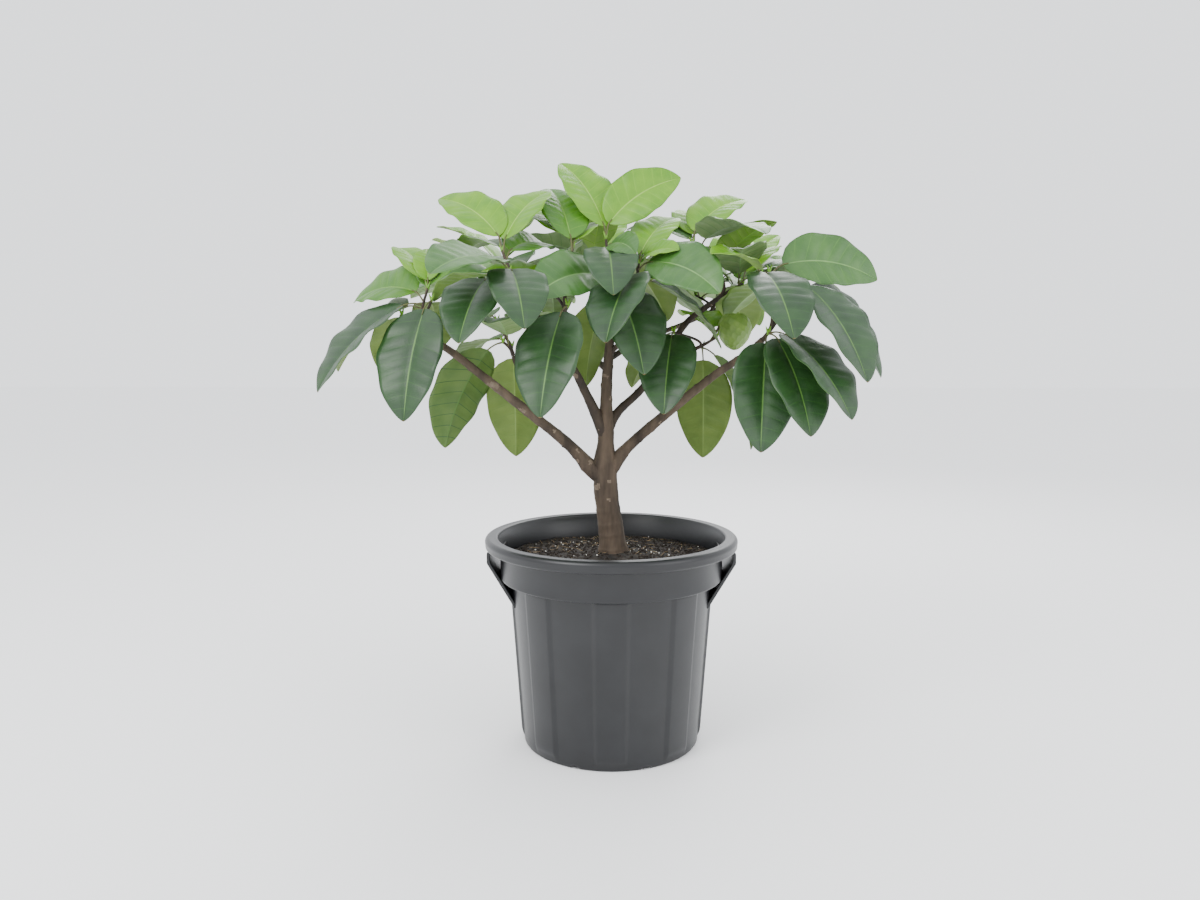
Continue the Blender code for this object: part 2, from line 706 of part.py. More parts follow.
def leaf_bmesh(blade, room=0.0, with_petiole=True):
    """A folded blade with a ridge below and above its midrib, closed at both ends."""
    work = bmesh.new()
    fold = math.radians(LEAF_FOLD)
    rings = []
    if with_petiole:
        side, up = blade.axes(0.0)
        rings.append(diamond(work, blade.foot, side, up, PETIOLE_RADIUS, PETIOLE_RADIUS, 0.0))
    side, up = blade.axes(0.0)
    rings.append(diamond(
        work, blade.place(0.0), side, up, PETIOLE_RADIUS + room, LEAF_THICK / 2 + room, 0.0))
    for along in LEAF_STATIONS:
        side, up = blade.axes(along)
        width = half_width(along) * blade.length * LEAF_RATIO / 2 + room
        rings.append(diamond(
            work, blade.place(along), side, up, width, LEAF_THICK / 2 + room, fold))
    tip = work.verts.new(blade.place(1.0))
    for ring, following in zip(rings, rings[1:]):
        for index in range(4):
            after = (index + 1) % 4
            work.faces.new((ring[index], ring[after], following[after], following[index]))
    for index in range(4):
        work.faces.new((rings[-1][index], rings[-1][(index + 1) % 4], tip))
    work.faces.new(tuple(reversed(rings[0])))
    bmesh.ops.triangulate(work, faces=work.faces)
    bmesh.ops.recalc_face_normals(work, faces=work.faces)
    return work


def diamond(work, centre, side, up, half, thick, fold):
    """Four corners of a blade's section: left edge, upper ridge, right edge, lower ridge."""
    lifted = up * math.sin(fold)
    edge = side * math.cos(fold)
    return [
        work.verts.new(centre - (edge - lifted) * half),
        work.verts.new(centre + up * thick),
        work.verts.new(centre + (edge + lifted) * half),
        work.verts.new(centre - up * thick),
    ]


def mass_stem(routes, mass):
    """A mass's stem starts clear of its limb's tip and runs on the same way."""
    last, radius = routes[mass.limb][-1]
    before, _ = routes[mass.limb][-2]
    onward = (last - before).normalized()
    return last + onward * GAP, onward, radius


def twig_route(foot, onward, twig, radius, number):
    """A twig leaves along its stem and bends to its tip, thinning as it goes.

    Each further twig of a mass starts a little deeper and slimmer, so no two skins coincide.
    """
    foot = foot + onward * TWIG_STAGGER * number
    radius = radius * (1.0 - TWIG_SLIMMER * number)
    tip = Vector(twig.tip)
    root = foot + onward * STEM_LEAD
    reach = root + onward * (tip - root).length * 0.4
    start = min(radius, TWIG_RADIUS) * (1.0 - TWIG_SLIMMER * number)
    route = [(foot, radius)]
    for step in range(TWIG_STEPS + 1):
        t = step / TWIG_STEPS
        place = root * (1 - t)**2 + reach * 2 * t * (1 - t) + tip * t**2
        route.append((place, start + (TWIG_TIP_RADIUS - start) * t))
    return route


def twig_leaves(twig, draw):
    """The listed leaves, and then those that follow the golden angle."""
    leaves = list(twig.leaves)
    heading = leaves[-1].heading if leaves else draw.uniform(-180.0, 180.0)
    for extra in range(twig.more):
        heading += GOLDEN_ANGLE + draw.uniform(-15.0, 15.0)
        age = (len(twig.leaves) + extra) / 4.0
        lift = 38.0 - 62.0 * age + draw.uniform(-10.0, 10.0)
        length = 0.165 + 0.05 * min(age, 1.0) + draw.uniform(-0.012, 0.012)
        leaves.append(Leaf(heading, max(lift, -72.0), length, draw.uniform(-15.0, 25.0)))
    return leaves


def leaf_feet(route, count):
    """Where the leaves leave a twig: a rosette from its tip back."""
    feet = []
    cell = len(route) - 2
    end, start = route[cell + 1][0], route[cell][0]
    travelled = 0.0
    for index in range(count):
        wanted = index * NODE_GAP
        while cell > 0 and wanted - travelled > (end - start).length:
            travelled += (end - start).length
            cell -= 1
            end, start = start, route[cell][0]
        share = min((wanted - travelled) / (end - start).length, 0.9)
        feet.append(end.lerp(start, share))
    return feet


def candidates(leaf):
    """The leaf as meant, and then turned or tipped a little further each time."""
    for tip in LEAF_TIPS:
        for turn in LEAF_TURNS:
            yield leaf._replace(heading=leaf.heading + turn, lift=leaf.lift + tip)


def in_space(blade, mass, centre):
    points = [blade.place(along) for along in (0.0, *LEAF_STATIONS, 1.0)]
    return all((point - centre).length < mass.reach and point.z > mass.floor for point in points)


def stands_clear(blade, owner, standing):
    """No blade meets anything, and no petiole meets another mass or limb."""
    body = leaf_bmesh(blade, LEAF_CLEAR, False)
    body_tree = BVHTree.FromBMesh(body)
    body.free()
    whole = leaf_bmesh(blade)
    whole_tree = BVHTree.FromBMesh(whole)
    whole.free()
    for name, tree in standing:
        if body_tree.overlap(tree):
            return None
        if name != owner and whole_tree.overlap(tree):
            return None
    return whole_tree


def fruit_mesh():
    """A blunt heart-shaped fruit, broad at its stalk."""
    work = bmesh.new()
    bmesh.ops.create_uvsphere(work, u_segments=12, v_segments=8, radius=FRUIT_RADIUS)
    centre = Vector(FRUIT_PLACE)
    for vert in work.verts:
        height = vert.co.z / FRUIT_RADIUS
        swell = 1.0 + 0.16 * height - 0.10 * height**2
        vert.co.x *= swell
        vert.co.y *= swell
        vert.co.z *= FRUIT_TALL
        vert.co += centre
    mesh = bpy.data.meshes.new("fruit")
    work.to_mesh(mesh)
    work.free()
    return mesh


def fruit_stalk_mesh(twig):
    """A short bent stalk from a twig's tip into the top of the fruit."""
    start = twig[-2][0]
    end = Vector(FRUIT_PLACE) + Vector((0.0, 0.0, FRUIT_RADIUS * 0.8))
    middle = (start + end) / 2 + Vector((0.0, 0.0, 0.012))
    route = [(start, FRUIT_STALK), (middle, FRUIT_STALK), (end, FRUIT_STALK)]
    return tube_mesh("fruit_stalk", route, 4)


def fuse(name, meshes, model):
    """Join one mass: the first mesh is united with all the others."""
    parts = new_collection(name + "_parts")
    for index, mesh in enumerate(meshes[1:]):
        add_object(f"{name}_part_{index}", mesh, parts)
    item = add_object(name, meshes[0], model, "leaf")
    boolean(item, parts, "UNION", "MANIFOLD")
    apply_modifiers(item, FINE_WELD)
    remove_collection(parts)
    keep_largest_body(item.data)
    item.data.materials.clear()
    item.data.materials.append(finish_material("leaf"))


def keep_largest_body(mesh):
    """Drop loose scraps and sealed hollows, and keep the one joined body."""
    work = bmesh.new()
    work.from_mesh(mesh)
    left = set(work.verts)
    bodies = []
    while left:
        grown = [left.pop()]
        body = set(grown)
        while grown:
            for edge in grown.pop().link_edges:
                for vert in edge.verts:
                    if vert in left:
                        left.discard(vert)
                        body.add(vert)
                        grown.append(vert)
        bodies.append(body)
    bodies.sort(key=len)
    scraps = [vert for body in bodies[:-1] for vert in body]
    print(mesh.name, "bodies", len(bodies), "dropped points", len(scraps))
    bmesh.ops.delete(work, geom=scraps, context="VERTS")
    work.to_mesh(mesh)
    work.free()


def build_masses(model, routes):
    """Every mass of foliage: first all twigs, and then the leaves that find room."""
    standing = []
    for name, limb in LIMBS.items():
        skin = tube_mesh("skin", routes[name], limb.sides, GAP)
        standing.append((name, mesh_tree(skin)))
    grown = {}
    for name, mass in MASSES.items():
        foot, onward, radius = mass_stem(routes, mass)
        grown[name] = [
            (twig, twig_route(foot, onward, twig, radius, number))
            for number, twig in enumerate(mass.twigs)
        ]
    meshes = {name: [] for name in MASSES}
    for name, twigs in grown.items():
        for index, (_, route) in enumerate(twigs):
            meshes[name].append(tube_mesh(f"{name}_twig_{index}", route, 4))
            standing.append((name, mesh_tree(meshes[name][-1])))
    for mesh in (fruit_mesh(), fruit_stalk_mesh(grown[FRUIT_MASS][0][1])):
        meshes[FRUIT_MASS].append(mesh)
        standing.append((FRUIT_MASS, mesh_tree(mesh)))
    placed = 0
    missed = []
    for name, mass in MASSES.items():
        draw = random.Random(mass.seed)
        centre = mass_stem(routes, mass)[0]
        for number, (twig, route) in enumerate(grown[name]):
            leaves = twig_leaves(twig, draw)
            for foot, leaf in zip(leaf_feet(route, len(leaves)), leaves):
                for trial in candidates(leaf):
                    blade = Blade(foot, trial)
                    if not in_space(blade, mass, centre):
                        continue
                    tree = stands_clear(blade, name, standing)
                    if tree is None:
                        continue
                    solid = leaf_bmesh(blade)
                    mesh = bpy.data.meshes.new(f"{name}_leaf")
                    solid.to_mesh(mesh)
                    solid.free()
                    meshes[name].append(mesh)
                    standing.append((name, tree))
                    placed += 1
                    break
                else:
                    missed.append((name, number))
    for name in MASSES:
        fuse(name, meshes[name], model)
    print("leaves placed", placed, "skipped", missed)


def main():
    clear_scene()
    model = new_collection(MODEL_NAME)
    build_pot(model)
    build_handles(model)
    build_soil(model)
    routes = build_limbs(model)
    build_masses(model, routes)


main()
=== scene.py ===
# %% [markdown]
# A young cherimoya tree stands in a black ribbed nursery tub.
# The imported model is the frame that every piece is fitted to, and it stays as it is.
# This lesson dresses it piece by piece, from the tub up to the leaves.

# %% The frame and the tools
import random
from collections import namedtuple
from math import atan2, cos, degrees, exp, hypot, pi, radians, sin, sqrt, tau

import bmesh
import bpy
from mathutils import Euler, Matrix, Vector, noise
from mathutils.kdtree import KDTree


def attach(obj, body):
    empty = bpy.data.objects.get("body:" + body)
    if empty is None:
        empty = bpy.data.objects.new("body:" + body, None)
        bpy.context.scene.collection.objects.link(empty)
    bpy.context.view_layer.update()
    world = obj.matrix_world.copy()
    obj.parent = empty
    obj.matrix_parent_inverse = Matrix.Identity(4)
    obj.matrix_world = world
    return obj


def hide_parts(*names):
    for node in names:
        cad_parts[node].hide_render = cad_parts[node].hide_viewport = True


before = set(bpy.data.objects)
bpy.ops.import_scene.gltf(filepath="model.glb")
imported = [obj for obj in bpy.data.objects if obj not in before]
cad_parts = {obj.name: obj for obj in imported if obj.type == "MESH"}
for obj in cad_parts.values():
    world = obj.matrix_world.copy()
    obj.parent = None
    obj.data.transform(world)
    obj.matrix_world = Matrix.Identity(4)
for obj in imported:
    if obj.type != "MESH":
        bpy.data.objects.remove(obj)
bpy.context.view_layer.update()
print("nodes in the frame", len(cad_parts))

# %% [markdown]
# Every finished piece is one mesh whose object sits at the origin.
# It rides on the only body there is, takes a finish from a named slot, and may stand for nodes.
# One helper does all of that, so a piece is never left half declared.

# %% Helpers that show an object and finish a piece
def show(name, data):
    item = bpy.data.objects.new(name, data)
    bpy.context.scene.collection.objects.link(item)
    return item


def finish_piece(name, work, materials, nodes=(), smooth=True, outward=True):
    """Turn a bmesh into a riding piece and print what it holds."""
    if outward:
        bmesh.ops.recalc_face_normals(work, faces=work.faces)
    mesh = bpy.data.meshes.new(name)
    work.to_mesh(mesh)
    work.free()
    if smooth:
        mesh.shade_smooth()
    for material in materials:
        mesh.materials.append(material)
    item = show(name, mesh)
    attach(item, "root")
    if nodes:
        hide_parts(*nodes)
    triangles = sum(len(face.vertices) - 2 for face in mesh.polygons)
    print(name, "triangles", triangles)
    return item


# %% [markdown]
# The camera stands two metres in front of the tree, at about waist height, and looks a little
# down through a lens somewhat wider than the eye.

# %% Camera
VIEW_DISTANCE = 2.093
VIEW_HEIGHT = 0.879
VIEW_DOWN = 6.74
VIEW_TURN = 0.66
VIEW_LENS = 29.7
VIEW_SENSOR = 36.0

camera_data = bpy.data.cameras.new("camera")
camera_data.sensor_width = VIEW_SENSOR
camera_data.lens = VIEW_LENS
camera = show("camera", camera_data)
camera.location = (0.0, -VIEW_DISTANCE, VIEW_HEIGHT)
camera.rotation_euler = Euler((radians(90.0 - VIEW_DOWN), 0.0, radians(VIEW_TURN)))
bpy.context.scene.camera = camera
print("camera looks down", VIEW_DOWN, "degrees")

# %% [markdown]
# A studio shows a plant on a pale sweep under large soft lamps.
# A big key from the upper left gives the leaves their shape, a weaker lamp fills from the right,
# and one behind lights the edges of the crown and the tub.

# %% Floor, lamps and sky
FLOOR_COLOUR = (0.96, 0.96, 0.96, 1.0)
FLOOR_ROUGHNESS = 0.8
FLOOR_SIZE = 14.0
SKY_COLOUR = (0.95, 0.97, 1.0, 1.0)
SKY_STRENGTH = 1.9
LAMPS = (  # name, place, aim, width in metres, power in watts
    ("key", (-2.2, -2.4, 3.2), (0.0, 0.0, 0.8), 2.0, 105.0),
    ("fill", (2.8, -2.0, 1.8), (0.0, 0.0, 0.7), 2.4, 34.0),
    ("rim", (0.8, 2.8, 2.8), (0.0, 0.0, 0.7), 2.0, 60.0),
)

work = bmesh.new()
bmesh.ops.create_grid(work, x_segments=2, y_segments=2, size=FLOOR_SIZE)
floor_mesh = bpy.data.meshes.new("floor")
work.to_mesh(floor_mesh)
work.free()
floor_material = bpy.data.materials.new("floor_paper")
floor_material.use_nodes = True
paper = floor_material.node_tree.nodes["Principled BSDF"]
paper.inputs["Base Color"].default_value = FLOOR_COLOUR
paper.inputs["Roughness"].default_value = FLOOR_ROUGHNESS
floor_mesh.materials.append(floor_material)
floor = show("floor", floor_mesh)

for name, place, aim, width, power in LAMPS:
    lamp = bpy.data.lights.new(name, "AREA")
    lamp.shape = "DISK"
    lamp.size = width
    lamp.energy = power
    item = show(name, lamp)
    item.location = place
    item.rotation_euler = (Vector(aim) - Vector(place)).to_track_quat("-Z", "Y").to_euler()
world = bpy.data.worlds.new("studio")
world.use_nodes = True
sky = world.node_tree.nodes["Background"]
sky.inputs["Color"].default_value = SKY_COLOUR
sky.inputs["Strength"].default_value = SKY_STRENGTH
bpy.context.scene.world = world
print("lamps", len(LAMPS))

# %% [markdown]
# Every finish on the object is a Principled shader with two things added: slow noise that moves
# the colour between two near tones, and finer noise that drives a bump.
# Both read Object coordinates.

# %% A helper that mixes a finish
PATCH_DETAIL = 6.0
GRAIN_DETAIL = 3.0
LOW_STOP = 0.34  # the low tone up to here, the high one from the next
HIGH_STOP = 0.66
RELIEF_DEPTH = 0.001
COAT_ROUGHNESS = 0.3


def add_noise(tree, mapping, scale, detail):
    node = tree.nodes.new("ShaderNodeTexNoise")
    node.inputs["Scale"].default_value = scale
    node.inputs["Detail"].default_value = detail
    tree.links.new(mapping.outputs["Vector"], node.inputs["Vector"])
    return node


def make_finish(name, low, high, scale, roughness, bump=0.2, grain=200.0, stretch=(1, 1, 1), coat=0.0):
    """A finish whose colour wanders between two tones, with fine grain in its relief."""
    material = bpy.data.materials.new(name)
    material.use_nodes = True
    nodes = material.node_tree.nodes
    links = material.node_tree.links
    shader = nodes["Principled BSDF"]
    coordinates = nodes.new("ShaderNodeTexCoord")
    mapping = nodes.new("ShaderNodeMapping")
    mapping.inputs["Scale"].default_value = stretch
    links.new(coordinates.outputs["Object"], mapping.inputs["Vector"])
    patches = add_noise(material.node_tree, mapping, scale, PATCH_DETAIL)
    ramp = nodes.new("ShaderNodeValToRGB")
    ramp.color_ramp.elements[0].position = LOW_STOP
    ramp.color_ramp.elements[0].color = (*low, 1.0)
    ramp.color_ramp.elements[1].position = HIGH_STOP
    ramp.color_ramp.elements[1].color = (*high, 1.0)
    links.new(patches.outputs["Fac"], ramp.inputs["Fac"])
    links.new(ramp.outputs["Color"], shader.inputs["Base Color"])
    fine = add_noise(material.node_tree, mapping, grain, GRAIN_DETAIL)
    relief = nodes.new("ShaderNodeBump")
    relief.inputs["Strength"].default_value = bump
    relief.inputs["Distance"].default_value = RELIEF_DEPTH
    links.new(fine.outputs["Fac"], relief.inputs["Height"])
    links.new(relief.outputs["Normal"], shader.inputs["Normal"])
    shader.inputs["Roughness"].default_value = roughness
    shader.inputs["Coat Weight"].default_value = coat
    shader.inputs["Coat Roughness"].default_value = COAT_ROUGHNESS
    return material


# After its two tones a finish says the scale of its patches, its roughness, its bump, the scale
# of its grain, and how the noise is stretched.
pot_finish = make_finish(
    "black_moulded_plastic", (0.005, 0.0053, 0.0064), (0.0085, 0.009, 0.0105), 14.0, 0.36, 0.12, 900.0)
soil_finish = make_finish(
    "potting_mix", (0.006, 0.004, 0.003), (0.028, 0.019, 0.013), 60.0, 0.95, 1.0, 420.0)
crumb_finish = make_finish(
    "soil_crumbs", (0.009, 0.006, 0.004), (0.036, 0.025, 0.017), 90.0, 0.95, 0.9, 600.0)
perlite_finish = make_finish("perlite", (0.62, 0.6, 0.55), (0.82, 0.8, 0.76), 200.0, 0.9, 0.8, 900.0)
straw_finish = make_finish("straw_fibre", (0.2, 0.13, 0.065), (0.36, 0.26, 0.14), 80.0, 0.85, 0.5, 900.0)
bark_finish = make_finish(
    "bark", (0.028, 0.019, 0.012), (0.1, 0.07, 0.046), 38.0, 0.86, 1.0, 190.0, (1, 1, 0.22))
young_bark_finish = make_finish(
    "young_bark", (0.016, 0.01, 0.006), (0.048, 0.031, 0.018), 60.0, 0.75, 0.8, 260.0, (1, 1, 0.4))
scar_finish = make_finish("leaf_scar", (0.11, 0.08, 0.055), (0.18, 0.135, 0.095), 120.0, 0.85, 0.6, 400.0)
twig_finish = make_finish("green_twig", (0.07, 0.06, 0.02), (0.105, 0.115, 0.03), 45.0, 0.6, 0.4, 500.0)
fruit_finish = make_finish(
    "fruit_skin", (0.15, 0.26, 0.045), (0.215, 0.345, 0.065), 40.0, 0.48, 0.4, 420.0)
print("finishes so far", len(bpy.data.materials))

# %% [markdown]
# The tub is one moulding. Its wall is a turned profile with a rolled rim and a stepped collar,
# and eight broad ribs swell out of it below the collar.
# A profile is spun round the axis, and a rule then pushes the wall's points out softly. That
# gives ribs with moulded edges, which a Boolean would leave sharp.

# %% The tub's sizes
GAP = 0.0003  # the clearance that the solids keep from each other
RIM_RADIUS = 0.27
RIM_TOP = 0.45
RIM_UNDERSIDE = 0.4255
RIM_LIP_RADIUS = 0.2453
LIP_ROLL = 0.0042
RIM_ROLL = 0.01
RIM_HEM = 0.0055  # the radius of the rim's lower edge
COLLAR_RADIUS = 0.238
COLLAR_FOOT = 0.36
COLLAR_CURVE = 0.004  # where it meets the rim's underside
COLLAR_HEM = 0.0036
WALL_TOP_RADIUS = 0.214
WALL_ROWS = 45
FOOT_RADIUS = 0.189
FOOT_CURVE = 0.004
FOOT_RING = 0.03  # how far in the profile ends
POT_WALL = 0.004
RIB_COUNT = 8
RIB_SPACING = 360.0 / RIB_COUNT
RIB_ANGLE = 19.0
RIB_SLOPE = 1.8  # degrees in which a rib's side rises
RIB_SPREAD = 0.8  # degrees of that slope outside its angle
RIB_PROUD = 0.0045
RIB_FOOT = 0.013
RIB_RUN = 0.01  # the height in which a rib rises above its foot
NOTCH_ANGLE = 6.6
NOTCH_HEIGHT = 0.004
NOTCH_DEPTH = 0.012


def wall_radius(height):
    return FOOT_RADIUS + (WALL_TOP_RADIUS - FOOT_RADIUS) * height / COLLAR_FOOT


def arc(centre, radius, start, end, steps):
    """Points of an arc in the profile's plane, from one angle to another."""
    points = []
    for step in range(steps + 1):
        angle = radians(start + (end - start) * step / steps)
        points.append((centre[0] + radius * cos(angle), centre[1] + radius * sin(angle)))
    return points


def tub_profile():
    """The outline from inside the collar, over the rim, down the wall and under the foot."""
    inside = COLLAR_RADIUS - POT_WALL
    points = [(inside, COLLAR_FOOT + 0.02), (inside, RIM_TOP - 0.018)]
    points.append((RIM_LIP_RADIUS - 0.0035, RIM_TOP - 0.0075))
    points.extend(arc((RIM_LIP_RADIUS + 0.0015, RIM_TOP - 0.0045), LIP_ROLL, 170.0, 80.0, 6))
    points.append((RIM_LIP_RADIUS + 0.01, RIM_TOP - 0.0012))
    points.extend(arc((RIM_RADIUS - RIM_ROLL, RIM_TOP - RIM_ROLL), RIM_ROLL, 84.0, -20.0, 9))
    points.extend(arc((RIM_RADIUS - 0.0062, RIM_UNDERSIDE + RIM_HEM), RIM_HEM, 0.0, -90.0, 6))
    corner = COLLAR_RADIUS + COLLAR_CURVE
    points.append((corner, RIM_UNDERSIDE))
    points.extend(arc((corner, RIM_UNDERSIDE - COLLAR_CURVE), COLLAR_CURVE, 90.0, 180.0, 4))
    points.append((COLLAR_RADIUS - 0.0008, COLLAR_FOOT + 0.006))
    points.extend(arc((COLLAR_RADIUS - 0.004, COLLAR_FOOT + 0.004), COLLAR_HEM, 0.0, -90.0, 5))
    points.append((wall_radius(COLLAR_FOOT) + 0.002, COLLAR_FOOT))
    wall_start = COLLAR_FOOT - 0.0015
    wall_run = COLLAR_FOOT - 0.0055
    for step in range(WALL_ROWS + 1):
        height = wall_start - wall_run * step / WALL_ROWS
        points.append((wall_radius(height), height))
    points.extend(arc((FOOT_RADIUS - FOOT_CURVE, FOOT_CURVE), FOOT_CURVE, -10.0, -90.0, 4))
    points.append((FOOT_RADIUS - FOOT_RING, 0.0))
    return points


def ease(value):
    """A soft step from 0 to 1."""
    value = min(max(value, 0.0), 1.0)
    return value * value * (3.0 - 2.0 * value)


def new_corners(made):
    return [item for item in made["geom"] if isinstance(item, bmesh.types.BMVert)]


def rib_height(angle, height):
    """How far the wall swells at a compass angle and a height."""
    off = abs((angle + RIB_SPACING / 2) % RIB_SPACING - RIB_SPACING / 2)
    across = ease((RIB_ANGLE / 2 + RIB_SPREAD - off) / RIB_SLOPE)
    along = ease((height - RIB_FOOT) / RIB_RUN)
    return RIB_PROUD * across * along


# %% The tub
TUB_STEPS = 288
TUB_MERGE = 0.00005
NEAR_FLOOR = 0.001

work = bmesh.new()
corners = [work.verts.new((radius, 0.0, height)) for radius, height in tub_profile()]
edges = [work.edges.new(pair) for pair in zip(corners, corners[1:])]
bmesh.ops.spin(
    work, geom=corners + edges, cent=(0, 0, 0), axis=(0, 0, 1), angle=tau,
    steps=TUB_STEPS, use_merge=True, use_duplicate=False)
bmesh.ops.remove_doubles(work, verts=work.verts, dist=TUB_MERGE)
open_edges = [edge for edge in work.edges if edge.is_boundary and edge.verts[0].co.z < NEAR_FLOOR]
bmesh.ops.contextual_create(work, geom=open_edges)
bmesh.ops.recalc_face_normals(work, faces=work.faces)
for vert in work.verts:
    radius = hypot(vert.co.x, vert.co.y)
    angle = degrees(atan2(vert.co.y, vert.co.x))
    if vert.co.z < COLLAR_FOOT - 0.001 and radius > FOOT_RADIUS - 0.002:
        swell = 1.0 + rib_height(angle, vert.co.z) / radius
        vert.co.x *= swell
        vert.co.y *= swell
    off = abs(angle % RIB_SPACING - RIB_SPACING / 2)
    if vert.co.z < NOTCH_HEIGHT and off < NOTCH_ANGLE / 2 and radius > FOOT_RADIUS - NOTCH_DEPTH:
        vert.co.z = NOTCH_HEIGHT
underside = [face for face in work.faces if face.calc_center_median().z < NEAR_FLOOR]
upward = sum(face.normal.z * face.calc_area() for face in underside)
if upward > 0.0:
    bmesh.ops.reverse_faces(work, faces=work.faces)
finish_piece("tub", work, [pot_finish], ("pot",), outward=False)

# %% [markdown]
# A strap handle is a thick band: out under the rim, down, and back in to the wall.
# Its side view is drawn once, a face is filled in it, the face is extruded across the strap's width,
# and the edges round its two sides get a small rounded bevel. The left one is the same, mirrored.

# %% Strap handles
STRAP_OUT = 0.2625
STRAP_BEND = 0.398
STRAP_FOOT = (0.2045, 0.3)
STRAP_THICK = 0.007
STRAP_WIDTH = 0.108
STRAP_ROOT = COLLAR_RADIUS - 0.008
STRAP_CORNER = 0.01  # the outer corner's radius
STRAP_HOLLOW = 0.004  # the inner corner's radius
STRAP_ELBOW = 0.012  # the radius where it turns back to the wall
STRAP_BEVEL = 0.0014


def strap_outline():
    top = RIM_UNDERSIDE - GAP
    outer = [(STRAP_ROOT, top)]
    outer.extend(arc((STRAP_OUT - STRAP_CORNER, top - STRAP_CORNER), STRAP_CORNER, 90.0, 0.0, 5))
    outer.extend(arc((STRAP_OUT - STRAP_ELBOW, STRAP_BEND + 0.002), STRAP_ELBOW, 0.0, -40.0, 4))
    outer.append(STRAP_FOOT)
    run = (Vector(outer[-2]) - Vector(STRAP_FOOT)).normalized()
    inward = Vector((-run.y, run.x)) * STRAP_THICK
    inner = [tuple(Vector(STRAP_FOOT) + inward), tuple(Vector(outer[-2]) + inward)]
    inner.append((STRAP_OUT - STRAP_THICK, STRAP_BEND + STRAP_THICK))
    inset = STRAP_THICK + STRAP_HOLLOW
    inner.extend(arc((STRAP_OUT - inset, top - inset), STRAP_HOLLOW, 0.0, 90.0, 3))
    inner.append((STRAP_ROOT, top - STRAP_THICK))
    return outer + inner


for name, side in (("handle_right", 1), ("handle_left", -1)):
    work = bmesh.new()
    corners = [work.verts.new((x, -STRAP_WIDTH / 2, z)) for x, z in strap_outline()]
    face = work.faces.new(corners)
    made = bmesh.ops.extrude_face_region(work, geom=[face])
    bmesh.ops.translate(work, verts=new_corners(made), vec=(0, STRAP_WIDTH, 0))
    rims = [edge for edge in work.edges if abs(edge.verts[0].co.y - edge.verts[1].co.y) < 0.001]
    bmesh.ops.bevel(
        work, geom=rims, offset=STRAP_BEVEL, affect="EDGES", segments=3, profile=0.5, material=-1)
    if side < 0:
        bmesh.ops.scale(work, verts=work.verts, vec=(-1, 1, 1))
    handle = finish_piece(name + "_strap", work, [pot_finish], (name,))
    handle.data.set_sharp_from_angle(angle=radians(40.0))

# %% [markdown]
# Potting mix is a dark crumbly bed, mounded a little round the trunk.
# A fine grid is cut to a disc and lifted by noise for the bed. Crumbs, white grains and straw
# fibres are then scattered on it, each kind as one joined mesh.

# %% The bed of soil
SOIL_TOP = 0.412
SOIL_EDGE = 0.398
BED_RADIUS = 0.2335
BED_SEGMENTS = 150
BED_SKIRT = 0.03  # how deep its edge turns down
MOUND_RADIUS = 0.16
MOUND_SLOPE = 0.12
LUMP_HEIGHT = 0.003
GRAIN_HEIGHT = 0.0022
SMOOTH_RADIUS = 0.028  # within it, under the trunk, the bed isn't rough


def soil_height(x, y):
    """The bed's surface: a low mound, rough at two scales."""
    radius = hypot(x, y)
    mound = SOIL_EDGE + (SOIL_TOP - SOIL_EDGE) * ease((MOUND_RADIUS - radius) / MOUND_SLOPE)
    rough = LUMP_HEIGHT * noise.noise(Vector((x, y, 0.3)) * 28.0)
    rough += GRAIN_HEIGHT * noise.noise(Vector((x, y, 1.7)) * 85.0)
    return mound + rough * ease((radius - SMOOTH_RADIUS) / 0.02) + 0.001


work = bmesh.new()
bmesh.ops.create_grid(work, x_segments=BED_SEGMENTS, y_segments=BED_SEGMENTS, size=BED_RADIUS)
outside = [vert for vert in work.verts if hypot(vert.co.x, vert.co.y) > BED_RADIUS]
bmesh.ops.delete(work, geom=outside, context="VERTS")
for vert in work.verts:
    vert.co.z = soil_height(vert.co.x, vert.co.y)
skirt = bmesh.ops.extrude_edge_only(work, edges=[edge for edge in work.edges if edge.is_boundary])
for vert in new_corners(skirt):
    vert.co.z = SOIL_EDGE - BED_SKIRT
finish_piece("soil_bed", work, [soil_finish], ("soil",))


# %% Crumbs and grains
CRUMB_REACH = 0.228
CRUMB_ROUGHNESS = 0.35  # of the smallest crumb's size
TRUNK_CLEAR = 0.036


def bed_place(draw, reach):
    """A random place on the bed, and how far it is from the middle."""
    radius = reach * sqrt(draw.random())
    angle = draw.uniform(0.0, tau)
    return radius * cos(angle), radius * sin(angle), radius


def scatter(name, count, seed, sizes, flat, material):
    """Small rough lumps on the bed, each a squashed icosphere turned at random."""
    draw = random.Random(seed)
    work = bmesh.new()
    for _ in range(count):
        x, y, radius = bed_place(draw, CRUMB_REACH)
        if radius < TRUNK_CLEAR:
            continue
        size = draw.uniform(*sizes)
        turn = Euler((draw.uniform(0, 6), draw.uniform(0, 6), draw.uniform(0, 6))).to_matrix().to_4x4()
        stretch = Matrix.Diagonal((1.0, draw.uniform(0.6, 1.0), flat, 1.0))
        place = Matrix.Translation((x, y, soil_height(x, y) + size * 0.25)) @ turn @ stretch
        bmesh.ops.create_icosphere(work, subdivisions=1, radius=size, matrix=place)
    for vert in work.verts:
        vert.co += noise.noise_vector(vert.co * 400.0) * sizes[0] * CRUMB_ROUGHNESS
    finish_piece(name, work, [material], smooth=False, outward=False)


scatter("soil_crumbs", 1900, 31, (0.0012, 0.0042), 0.7, crumb_finish)
scatter("perlite_grains", 130, 32, (0.001, 0.0024), 0.8, perlite_finish)

